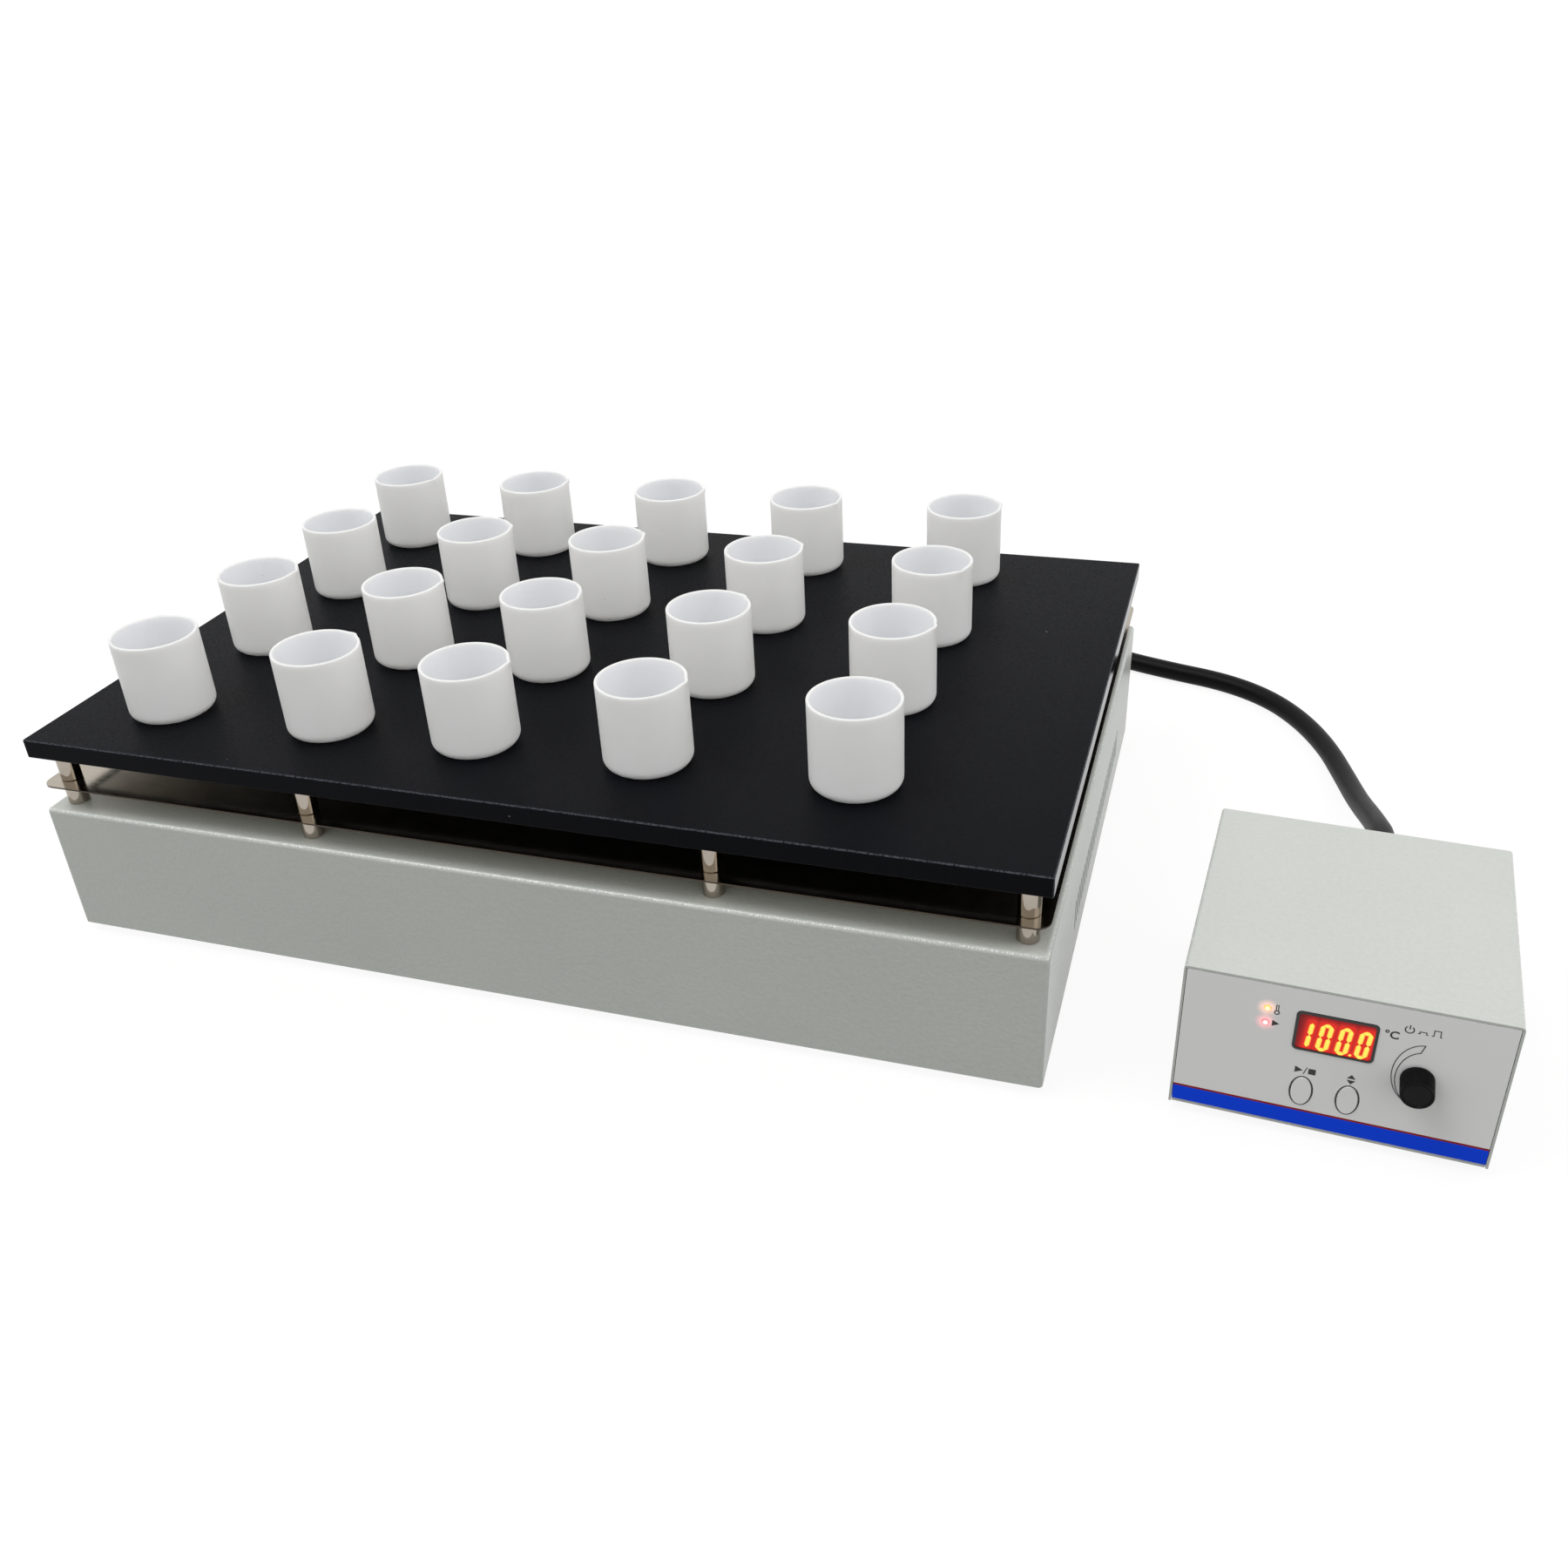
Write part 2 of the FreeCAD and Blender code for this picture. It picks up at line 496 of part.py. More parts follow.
def base_electrics():
    """Relay and terminal strip on the case's bottom plate."""
    row = "(dims.plate_width / 2 - dims.electrics_rear)"
    size = ("dims.relay_length", "dims.relay_width", "dims.relay_height")
    relay = block("relay_body", size, ("dims.relay_x", row), FLOOR_TOP)
    terminals = []
    for sx in (-1, 1):
        for sy in (-1, 1):
            spot = (f"dims.relay_x + {sx} * (dims.relay_length / 2 - dims.relay_terminal)",
                    f"{row} + {sy} * (dims.relay_width / 2 - dims.relay_terminal)",
                    f"{FLOOR_TOP} + dims.relay_height - dims.relay_terminal / 3")
            terminals.append(rod(f"relay_well_{len(terminals) + 1}", "dims.relay_terminal / 2",
                                 "dims.relay_terminal", spot))
    subpart(cut("relay", relay, terminals), "solid_state_relay", HEATER)

    size = ("dims.strip_length", "dims.strip_width", "dims.strip_height")
    strip = block("strip_body", size, ("dims.strip_x", row), FLOOR_TOP)
    slots = []
    for i in range(-2, 3):
        spot = (f"dims.strip_x + {i} * dims.strip_pitch", row)
        size = ("dims.strip_slot", "2 * dims.strip_width", "dims.strip_height")
        slots.append(block(f"strip_slot_{i + 3}", size, spot,
                           f"{FLOOR_TOP} + dims.strip_height - dims.strip_slot_depth"))
    subpart(cut("strip", strip, slots), "terminal_block", HEATER)


def cup_form():
    """Straight-sided cup, rounded where its wall meets its floor."""
    body = doc.addObject("PartDesign::Body", "cup_form")
    section = new_sketch(body, "XZ_Plane", "cup_section")
    inner = "dims.cup_radius - dims.cup_wall"
    polygon(section, [("0", "0"), ("dims.cup_radius", "0"), ("dims.cup_radius", "dims.cup_height"),
                      (inner, "dims.cup_height"), (inner, "dims.cup_floor"), ("0", "dims.cup_floor")])
    turned = body.newObject("PartDesign::Revolution", "cup_turned")
    turned.Profile = section
    turned.ReferenceAxis = (section, ["V_Axis"])
    turned.Angle = 360
    doc.recompute()

    def ring(level, radius):
        """The name of the circular edge at a level and radius."""
        for i, edge in enumerate(turned.Shape.Edges, start=1):
            curve = edge.Curve
            if not isinstance(curve, Part.Circle):
                continue
            if abs(curve.Center.z - level) < 1e-6 and abs(curve.Radius - radius) < 1e-6:
                return f"Edge{i}"
        raise RuntimeError("no such edge on the cup")

    radius, wall = dim("cup_radius"), dim("cup_wall")
    bottom = body.newObject("PartDesign::Fillet", "cup_bottom_round")
    bottom.Base = (turned, [ring(0, radius)])
    bottom.setExpression("Radius", "dims.cup_round")
    doc.recompute()
    turned = bottom
    floor = body.newObject("PartDesign::Fillet", "cup_floor_round")
    floor.Base = (bottom, [ring(dim("cup_floor"), radius - wall)])
    floor.setExpression("Radius", "dims.cup_round - dims.cup_wall")
    doc.recompute()
    turned = floor
    rim = body.newObject("PartDesign::Fillet", "cup_rim_round")
    rim.Base = (floor, [ring(dim("cup_height"), radius), ring(dim("cup_height"), radius - wall)])
    rim.setExpression("Radius", "dims.cup_rim")
    doc.recompute()
    return body


def cups():
    """Twenty cups in five columns and four rows, some of them set down a little out of line."""
    form = cup_form()
    for row in range(1, 5):
        for column in range(1, 6):
            x = f"dims.cup_column_{column}"
            if f"cup_{row}_{column}_shift" in DIMENSIONS:
                x = f"({x} + dims.cup_{row}_{column}_shift)"
            y = f"dims.cup_row_{row} + dims.cup_drift * {x}"
            cup = doc.addObject("Part::Compound", f"cup_at_{row}_{column}")
            cup.Links = [form]
            put(cup, (x, y, PLATE_TOP))
            subpart(cup, f"cup_{row}_{column}", HEATER)


def rounded_window(name, grow, front, thick):
    """The display's outline with rounded corners, grown by a clearance."""
    spot = ("dims.display_x", "dims.foot_height + dims.display_level")
    plate = slab(f"{name}_square", f"dims.display_width + 2 * {grow}", f"dims.display_height + 2 * {grow}",
                 spot, front, thick)
    return rounded(name, plate, dim("display_corner") + value(grow),
                   lambda edge: runs_along(edge, FreeCAD.Vector(0, 1, 0)))


def lamp_spots():
    """Places of the two lamps, across and up."""
    return [("dims.lamp_x", f"dims.foot_height + dims.{level}") for level in ("lamp_upper", "lamp_lower")]


def key_spots():
    """Places of the two keys, across and up."""
    return [(f"dims.{key}", "dims.foot_height + dims.key_level") for key in ("start_key_x", "set_key_x")]


KNOB = ("dims.knob_x", "dims.foot_height + dims.knob_level")
INLET = ("dims.inlet_x", "dims.foot_height + dims.inlet_level")


def panel_openings(name):
    """Tools that open a sheet of the front panel for what shows through it."""
    front, through = f"{PANEL_FRONT} - dims.box_sheet", "3 * dims.box_sheet + dims.overlay_thick"
    tools = [rounded_window(f"{name}_window", "dims.display_fit", front, through)]
    for i, (x, level) in enumerate(lamp_spots(), start=1):
        tools.append(rod(f"{name}_lamp_{i}", "dims.lamp_radius + dims.lamp_fit", through,
                         (x, front, level), "y"))
    for i, (x, level) in enumerate(key_spots(), start=1):
        tools.append(oval(f"{name}_key_{i}", "dims.key_half_width + dims.key_fit",
                          "dims.key_half_height + dims.key_fit", (x, front, level), through))
    tools.append(rod(f"{name}_bush", "dims.bush_radius + dims.bush_fit", through,
                     (KNOB[0], front, KNOB[1]), "y"))
    return tools


def screw_spots():
    """Places of the cover's screws along the sides, as side and depth."""
    return [(side, f"{end} * dims.cover_screw_y") for side in (-1, 1) for end in (-1, 1)]


def side_holes(name):
    """Tools for the cover's screw holes, through both skins of a side."""
    tools = []
    for i, (side, y) in enumerate(screw_spots(), start=1):
        start = (f"{side} * (dims.box_width / 2 + dims.box_sheet)", y,
                 "dims.foot_height + dims.cover_screw_level")
        tools.append(rod(f"{name}_{i}", "dims.cover_screw_radius + dims.screw_fit",
                         "4 * dims.box_sheet + dims.box_fit", start, "-x" if side > 0 else "x"))
    return tools


def box_housing():
    """Control box: a folded tray with front and rear walls, and a cover over its top and sides."""
    depth = f"({REAR_OUTER} - {PANEL_OUTER})"
    tray = block("tray_block", (CHASSIS_WIDTH, depth, f"{CHASSIS_TOP} - dims.foot_height"), ("0", "0"),
                 "dims.foot_height")
    inside = block("tray_inside", (f"{CHASSIS_WIDTH} - 2 * dims.box_sheet", f"{depth} - 2 * dims.box_sheet",
                                   "dims.box_height"), ("0", "0"), BOX_FLOOR)
    sides = block("tray_sides", ("2 * dims.box_width", f"{depth} - 2 * dims.box_sheet", "dims.box_height"),
                  ("0", "0"), f"{BOX_FLOOR} + dims.box_flange")
    gland_hole = rod("box_gland_hole", "dims.gland_thread + dims.gland_fit", "3 * dims.box_sheet",
                     ("dims.box_gland_x", f"{REAR_INNER} - dims.box_sheet",
                      "dims.foot_height + dims.box_gland_level"), "y")
    inlet_hole = slab("box_inlet_hole", "dims.inlet_width + 2 * dims.inlet_fit",
                      "dims.inlet_height + 2 * dims.inlet_fit", INLET, f"{REAR_INNER} - dims.box_sheet",
                      "3 * dims.box_sheet")
    openings = [inside, sides, gland_hole, inlet_hole] + panel_openings("tray") + side_holes("tray_screw")
    subpart(cut("tray", tray, openings), "box_chassis", BOX)

    shell = block("cover_block", ("dims.box_width", "dims.box_depth", "dims.box_height"), ("0", "0"),
                  "dims.foot_height")
    top = dim("foot_height") + dim("box_height")
    bent = rounded("cover_bent", shell, dim("box_bend"), lambda edge: edge.BoundBox.ZMin > top - 1e-6
                   and runs_along(edge, FreeCAD.Vector(0, 1, 0)))
    under = block("cover_inside", ("dims.box_width - 2 * dims.box_sheet", "2 * dims.box_depth",
                                   "dims.box_height"), ("0", "0"), "dims.foot_height - dims.box_sheet")
    subpart(cut("cover", bent, [under] + side_holes("cover_screw_hole")), "box_cover", BOX)

    screws, feet = [], []
    for i, (side, y) in enumerate(screw_spots(), start=1):
        along = "-x" if side > 0 else "x"
        level = "dims.foot_height + dims.cover_screw_level"
        face = f"{side} * dims.box_width / 2"
        shank = rod(f"screw_shank_{i}", "dims.cover_screw_radius", "dims.cover_screw_length",
                    (face, y, level), along)
        outer = f"{side} * (dims.box_width / 2 + dims.cover_screw_head_thick)"
        head = rod(f"screw_head_{i}", "dims.cover_screw_head", "dims.cover_screw_head_thick",
                   (outer, y, level), along)
        screws.append(fuse(f"cover_screw_{i}", [shank, head]))
        spot = (f"{side} * (dims.box_width / 2 - dims.box_foot_inset)",
                f"{-1 if i % 2 else 1} * (dims.box_depth / 2 - dims.box_foot_inset)", "0")
        feet.append(rod(f"box_foot_{i}", "dims.box_foot_radius", "dims.foot_height", spot))
    subpart(group("cover_screw_set", screws), "cover_screws", BOX)
    subpart(group("box_foot_set", feet), "box_feet", BOX)


def front_panel():
    """Printed overlay, display, lamps and the board behind them."""
    low = "dims.foot_height + dims.overlay_lip"
    skin = block("overlay_sheet", (CHASSIS_WIDTH, "dims.overlay_thick", f"{CHASSIS_TOP} - ({low})"),
                 ("0", f"({PANEL_FRONT} + dims.overlay_thick / 2)"), low)
    subpart(cut("overlay", skin, panel_openings("overlay")), "panel_overlay", BOX)

    window = rounded_window("window", "0 * dims.display_fit", f"{PANEL_FRONT} - dims.display_proud",
                            "dims.window_thick")
    subpart(window, "display_window", BOX)
    back = f"({PANEL_FRONT} - dims.display_proud + dims.window_thick)"
    module = slab("module_block", "dims.display_width - 2 * dims.module_margin",
                  "dims.display_height - 2 * dims.module_margin",
                  ("dims.display_x", "dims.foot_height + dims.display_level"), back,
                  f"{BOARD_FRONT} - {back}")
    subpart(module, "display_module", BOX)

    lamps = []
    for i, (x, level) in enumerate(lamp_spots(), start=1):
        face = f"({PANEL_FRONT} - dims.lamp_proud)"
        stem = rod(f"lamp_stem_{i}", "dims.lamp_radius", f"{BOARD_FRONT} - {face}", (x, face, level), "y")
        dome = solid("Part::Sphere", f"lamp_dome_{i}", (x, face, level), Radius="dims.lamp_radius")
        flat = slab(f"lamp_flat_{i}", "4 * dims.lamp_radius", "4 * dims.lamp_radius", (x, level),
                    f"{face} - 2 * dims.lamp_radius", "1.4 * dims.lamp_radius")
        lamps.append(cut(f"lamp_{i}", fuse(f"lamp_whole_{i}", [stem, dome]), [flat]))
    subpart(group("lamp_set", lamps), "indicator_lamps", BOX)

    middle = "(dims.foot_height + dims.box_height / 2)"
    board = slab("board_sheet", "dims.board_width", "dims.board_height", ("0", middle), BOARD_FRONT,
                 "dims.board_thick")
    subpart(board, "control_board", BOX)
    standoffs = []
    for sx in (-1, 1):
        for sz in (-1, 1):
            spot = (f"{sx} * (dims.board_width / 2 - dims.standoff_inset)", PANEL_INNER,
                    f"{middle} + {sz} * (dims.board_height / 2 - dims.standoff_inset)")
            standoffs.append(rod(f"standoff_{len(standoffs) + 1}", "dims.standoff_radius", "dims.board_gap",
                                 spot, "y"))
    subpart(group("standoff_set", standoffs), "board_standoffs", BOX)


def keys():
    """Two oval keys behind the overlay, each over a switch on the board."""
    switches = []
    for name, (x, level) in zip(("start_button", "set_button"), key_spots()):
        face = f"({PANEL_FRONT} - dims.key_proud)"
        flange_front = f"({PANEL_INNER} + dims.key_back_gap)"
        cap = oval(f"{name}_cap", "dims.key_half_width", "dims.key_half_height", (x, face, level),
                   f"{flange_front} - {face}")
        flange = oval(f"{name}_flange", "dims.key_half_width + dims.key_flange",
                      "dims.key_half_height + dims.key_flange", (x, flange_front, level),
                      "dims.key_flange_thick")
        stem_front = f"({flange_front} + dims.key_flange_thick)"
        switch_front = f"({BOARD_FRONT} - dims.key_switch_thick)"
        stem_length = f"{switch_front} - dims.key_switch_gap - {stem_front}"
        stem = rod(f"{name}_stem", "dims.key_stem_radius", stem_length, (x, stem_front, level), "y")
        subpart(fuse(f"{name}_whole", [cap, flange, stem]), name, BOX)
        switches.append(slab(f"{name}_switch", "dims.key_switch_size", "dims.key_switch_size", (x, level),
                             switch_front, "dims.key_switch_thick"))
    subpart(group("switch_set", switches), "key_switches", BOX)


def control_knob():
    """Turned knob on a spindle that runs in an encoder's bush and presses a switch plunger."""
    knob = doc.addObject("PartDesign::Body", "knob_body")
    section = new_sketch(knob, "XZ_Plane", "knob_section")
    tip = "dims.knob_length"
    hole = "dims.spindle_radius + dims.spindle_seat"
    rim = "dims.knob_radius - dims.knob_dish_rim"
    polygon(section, [
        ("dims.knob_recess_radius", "0"), ("dims.knob_radius", "0"),
        ("dims.knob_radius", f"{tip} - dims.knob_chamfer"), ("dims.knob_radius - dims.knob_chamfer", tip),
        (rim, tip), (f"{rim} - dims.knob_dish", f"{tip} - dims.knob_dish"), ("0", f"{tip} - dims.knob_dish"),
        ("0", f"{tip} - dims.knob_roof"), (hole, f"{tip} - dims.knob_roof"), (hole, "dims.knob_recess"),
        ("dims.knob_recess_radius", "dims.knob_recess"),
    ])
    turned = knob.newObject("PartDesign::Revolution", "knob_turned")
    turned.Profile = section
    turned.ReferenceAxis = (section, ["V_Axis"])
    turned.Angle = 360
    back = f"({PANEL_FRONT} - dims.knob_gap)"
    put(knob, (KNOB[0], back, KNOB[1]), TURNS["-y"])
    subpart(knob, "control_knob", BOX)

    front = f"({back} - {tip} + dims.knob_roof)"
    inner = f"({PANEL_INNER} + dims.spindle_in)"
    spindle = rod("spindle", "dims.spindle_radius", f"{inner} - {front}", (KNOB[0], front, KNOB[1]), "y")
    subpart(spindle, "knob_spindle", BOX)
    plunger = rod("plunger", "dims.spindle_radius", "dims.plunger_length", (KNOB[0], inner, KNOB[1]), "y")
    subpart(plunger, "switch_plunger", BOX)

    can = slab("encoder_can", "dims.encoder_size", "dims.encoder_size", KNOB, PANEL_INNER, "dims.board_gap")
    bush_front = f"({PANEL_FRONT} - dims.bush_out)"
    bush = rod("encoder_bush", "dims.bush_radius", f"{PANEL_INNER} - {bush_front}",
               (KNOB[0], bush_front, KNOB[1]), "y")
    bore_end = f"({inner} + dims.plunger_length + dims.plunger_room)"
    bore = rod("encoder_bore", "dims.spindle_radius + dims.spindle_fit", f"{bore_end} - {bush_front}",
               (KNOB[0], bush_front, KNOB[1]), "y")
    subpart(cut("encoder", fuse("encoder_whole", [can, bush]), [bore]), "rotary_encoder", BOX)


def box_electrics():
    """Mains inlet in the rear wall and a transformer on the floor."""
    mouth = f"({REAR_OUTER} + dims.inlet_flange_thick)"
    barrel = slab("inlet_barrel", "dims.inlet_width", "dims.inlet_height", INLET,
                  f"{REAR_OUTER} - dims.inlet_depth", "dims.inlet_depth")
    flange = slab("inlet_flange_plate", "dims.inlet_width + 2 * dims.inlet_flange",
                  "dims.inlet_height + 2 * dims.inlet_flange", INLET, REAR_OUTER, "dims.inlet_flange_thick")
    hollow = slab("inlet_hollow", "dims.inlet_width - 2 * dims.inlet_wall",
                  "dims.inlet_height - 2 * dims.inlet_wall", INLET, f"{mouth} - dims.inlet_cavity",
                  "2 * dims.inlet_cavity")
    shroud = cut("inlet_shroud", fuse("inlet_whole", [barrel, flange]), [hollow])
    pins = []
    for i, (dx, rise) in enumerate(((-1, -1), (0, 1), (1, -1)), start=1):
        spot = (f"dims.inlet_x + {dx} * dims.pin_spread", f"{INLET[1]} + {rise} * dims.pin_rise")
        pins.append(slab(f"inlet_pin_{i}", "dims.pin_width", "dims.pin_height", spot,
                         f"{mouth} - dims.inlet_cavity", "dims.pin_length"))
    subpart(fuse("inlet", [shroud] + pins), "mains_inlet", BOX)

    spot = ("dims.transformer_x", "dims.transformer_y")
    core_size = ("dims.core_length", "dims.core_width", "dims.core_height")
    coil_size = ("dims.coil_length", "dims.coil_width", "dims.coil_height")
    core = block("transformer_core", core_size, spot, BOX_FLOOR)
    coil = block("transformer_coil", coil_size, spot,
                 f"{BOX_FLOOR} + (dims.core_height - dims.coil_height) / 2")
    subpart(fuse("transformer", [core, coil]), "power_transformer", BOX)


def gland(name, x, wall_outer, wall, level, frame):
    """Cable gland through a rear wall with a tapered strain relief, and its locknut."""
    thread_in = f"({wall_outer} - {wall} - dims.gland_in)"
    thread = rod(f"{name}_thread", "dims.gland_thread", f"{wall_outer} - {thread_in}",
                 (x, thread_in, level), "y")
    collar = hexagon(f"{name}_collar", "2 * dims.gland_hex", "dims.gland_flange", (x, wall_outer, level), "y")
    relief_at = (x, f"{wall_outer} + dims.gland_flange", level)
    relief = solid("Part::Cone", f"{name}_relief", relief_at, TURNS["y"], Radius1="dims.gland_neck",
                   Radius2="dims.gland_tip", Height="dims.gland_relief")
    subpart(fuse(f"{name}_whole", [thread, collar, relief]), name, frame)
    nut_at = (x, f"{wall_outer} - {wall} - dims.locknut_thick", level)
    nut = hexagon(f"{name}_nut_hex", "dims.locknut_flats", "dims.locknut_thick", nut_at, "y")
    bore = rod(f"{name}_nut_bore", "dims.gland_thread + dims.stud_fit", "dims.locknut_thick", nut_at, "y")
    locknut = cut(f"{name}_locknut", nut, [bore])
    locknut.setExpression("Placement", frame)
    return locknut


def glands():
    """The two ends that the linking cable goes into."""
    base_nut = gland("base_gland", "dims.base_gland_x", "(dims.plate_width / 2)", "dims.case_wall",
                     "dims.foot_height + dims.base_gland_level", HEATER)
    box_nut = gland("box_gland", "dims.box_gland_x", REAR_OUTER, "dims.box_sheet",
                    "dims.foot_height + dims.box_gland_level", BOX)
    subpart(group("locknut_set", [base_nut, box_nut]), "gland_locknuts", TABLE)


# Points between the cable's straight ends, as it lies on the table behind the heater
CABLE_ROUTE = [
    (46, 312, 39), (81, 337, 25), (127, 339, 12), (171, 323, 7.3), (215, 308, 7.2), (256, 297, 7.2),
    (289, 276, 7.2), (313, 245, 7.2), (331, 206, 7.2), (341.5, 163, 9), (348.5, 119, 16), (354, 76, 29),
]


def cable_end(frame, x, wall_outer, level):
    """Where the cable leaves a gland, and the point to which it then runs straight."""
    tip = f"{wall_outer} + dims.gland_flange + dims.gland_relief"
    ends = []
    for reach in (tip, f"{tip} + dims.cable_lead"):
        place = sheet.evalExpression(f"{frame} * placement(vector({x}; {reach}; {level}); {UPRIGHT})")
        ends.append(place.Base)
    return ends


def link_cable():
    """Cable from the heater's rear wall to the control box's rear wall, in straight runs and arcs."""
    base_end = cable_end(HEATER, "dims.base_gland_x", "dims.plate_width / 2",
                         "dims.foot_height + dims.base_gland_level")
    box_end = cable_end(BOX, "dims.box_gland_x", REAR_OUTER, "dims.foot_height + dims.box_gland_level")
    points = base_end + [FreeCAD.Vector(*point) for point in CABLE_ROUTE] + box_end[::-1]
    runs = [b - a for a, b in zip(points, points[1:])]
    edges, radii = [], []
    start = points[0]
    for corner, before, after in zip(points[1:-1], runs, runs[1:]):
        half_turn = before.getAngle(after) / 2
        back = 0.45 * min(before.Length, after.Length)
        radii.append(back / math.tan(half_turn))
        way_in = FreeCAD.Vector(before).normalize()
        way_out = FreeCAD.Vector(after).normalize()
        arc_start, arc_end = corner - way_in * back, corner + way_out * back
        inward = (way_out - way_in).normalize()
        middle = corner + inward * (radii[-1] / math.cos(half_turn) - radii[-1])
        edges.append(Part.LineSegment(start, arc_start).toShape())
        edges.append(Part.Arc(arc_start, middle, arc_end).toShape())
        start = arc_end
    edges.append(Part.LineSegment(start, points[-1]).toShape())
    path = Part.Wire(edges)
    ring = Part.Wire(Part.Circle(points[0], runs[0], dim("cable_radius")).toShape())
    tube = path.makePipeShell([ring], True, False)
    section = math.pi * dim("cable_radius") ** 2
    if abs(tube.Volume / (section * path.Length) - 1) > 0.01:
        raise RuntimeError("the cable's volume isn't its section times its length")
    print("cable length", round(path.Length, 1), "runs", [round(run.Length) for run in runs])
    print("cable radii", [round(radius) for radius in radii], "volume", round(tube.Volume))
    cable = doc.addObject("Part::Feature", "cable")
    cable.Shape = tube
    cable.Placement = FreeCAD.Placement()
    cable.Label = "link_cable"
    subparts.append(cable)


heating_plate()
heat_shield()
case_shell()
case_bottom()
posts()
heating_parts()
base_electrics()
cups()
box_housing()
front_panel()
keys()
control_knob()
box_electrics()
glands()
link_cable()
doc.recompute()

for obj in doc.Objects:
    if "Invalid" in obj.State or "Error" in obj.State:
        raise RuntimeError(f"{obj.Label} failed: {obj.State}")
for obj in subparts:
    if obj.Shape.isNull() or not obj.Shape.isValid() or not obj.Shape.Solids:
        raise RuntimeError(f"{obj.Label} has no valid shape")

os.makedirs("parts", exist_ok=True)
for obj in subparts:
    obj.Shape.exportStep(f"parts/{obj.Label}.step")
print(len(subparts), "sub-parts written")
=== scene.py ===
import json
import math
import random

import bmesh
import bpy
from mathutils import Matrix, Vector


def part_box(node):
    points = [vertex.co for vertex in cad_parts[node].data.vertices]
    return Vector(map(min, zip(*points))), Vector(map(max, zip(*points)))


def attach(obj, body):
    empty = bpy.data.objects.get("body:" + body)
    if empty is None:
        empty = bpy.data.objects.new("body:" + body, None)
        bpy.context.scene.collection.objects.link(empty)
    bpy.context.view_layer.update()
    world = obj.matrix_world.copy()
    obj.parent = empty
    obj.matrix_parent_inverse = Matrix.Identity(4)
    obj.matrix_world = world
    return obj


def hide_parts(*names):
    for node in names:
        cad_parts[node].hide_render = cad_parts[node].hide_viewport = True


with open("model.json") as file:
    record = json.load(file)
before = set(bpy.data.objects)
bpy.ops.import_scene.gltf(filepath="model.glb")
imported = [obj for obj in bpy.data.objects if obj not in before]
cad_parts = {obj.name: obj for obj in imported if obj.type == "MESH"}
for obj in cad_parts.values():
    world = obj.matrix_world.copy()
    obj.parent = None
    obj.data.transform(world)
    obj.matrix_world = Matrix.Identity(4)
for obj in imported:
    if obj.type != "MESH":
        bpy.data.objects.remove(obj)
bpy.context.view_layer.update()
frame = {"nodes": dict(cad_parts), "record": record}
nodes = frame["nodes"]
scene = bpy.context.scene
scene.view_settings.view_transform = "Standard"
mm = 0.001
weldGap = 0.001  # points nearer than this become one, mm
creaseAngle = math.radians(35)  # edges sharper than this stay sharp
noiseSpan = (0.3, 0.7)  # most of a noise's values lie in here
white, black = (1, 1, 1, 1), (0, 0, 0, 1)


def linear(code):  # sRGB hex to the linear colour that the shaders mix
    parts = [int(code[i:i + 2], 16) / 255 for i in (1, 3, 5)]
    return tuple(p / 12.92 if p <= 0.04045 else ((p + 0.055) / 1.055) ** 2.4 for p in parts) + (1.0,)


def addNode(tree, kind, values=None, **settings):  # one node with its settings, values and links
    node = tree.nodes.new(kind)
    for name, value in settings.items():
        setattr(node, name, value)
    for socket, value in (values or {}).items():
        if isinstance(value, bpy.types.NodeSocket):
            tree.links.new(value, node.inputs[socket])
        else:
            node.inputs[socket].default_value = value
    return node


def pick(values, *names):
    return [values[name] for name in names]


def turned(degrees, axis):
    return Matrix.Rotation(math.radians(degrees), 4, axis)


def addObject(name, data):
    item = bpy.data.objects.new(name, data)
    scene.collection.objects.link(item)
    return item


# camera solved from the plate's and the case's edges in the photo
photoView = {"place": (253.16, -758.54, 518.56), "azimuth": 18.974, "elevation": 30.319, "roll": -2.89,
             "lens": 33.04, "sensor": 36, "near": 0.01, "far": 200}


def makeCamera():
    data = bpy.data.cameras.new("photoCamera")
    data.lens = photoView["lens"]
    data.sensor_fit = "HORIZONTAL"
    data.sensor_width = photoView["sensor"]
    data.clip_start, data.clip_end = photoView["near"], photoView["far"]
    scene.camera = addObject("photoCamera", data)
    scene.camera.matrix_world = (
        Matrix.Translation(Vector(photoView["place"]) * mm) @ turned(photoView["azimuth"], "Z")
        @ turned(90 - photoView["elevation"], "X") @ turned(photoView["roll"], "Z"))


makeCamera()
print("camera set")


def newMaterial(name, look, *given):  # the look adds its nodes and says what goes into the shader
    material = bpy.data.materials.new(name)
    material.use_nodes = True
    tree = material.node_tree
    tree.nodes.clear()
    place = addNode(tree, "ShaderNodeTexCoord").outputs["Object"]
    shader = addNode(tree, "ShaderNodeBsdfPrincipled", look(tree, place, *given))
    addNode(tree, "ShaderNodeOutputMaterial", {"Surface": shader.outputs[0]})
    return material


# soft studio: a pale floor and sky that the camera and polished metal see as white
studio = {"horizonLight": 0.55, "zenithLight": 0.98, "seenWhite": 1.0, "floorColour": "#5E5E5D", "floorGlow": 0.9,
          "floorRough": 0.9, "floorSize": 80, "floorDrop": 0.2,
          "keyLight": {"power": 0.84, "spread": 28, "from": (-0.45, -0.22, 0.86)},
          "fillLight": {"power": 0.42, "spread": 50, "from": (0.93, -0.12, 0.35)}}


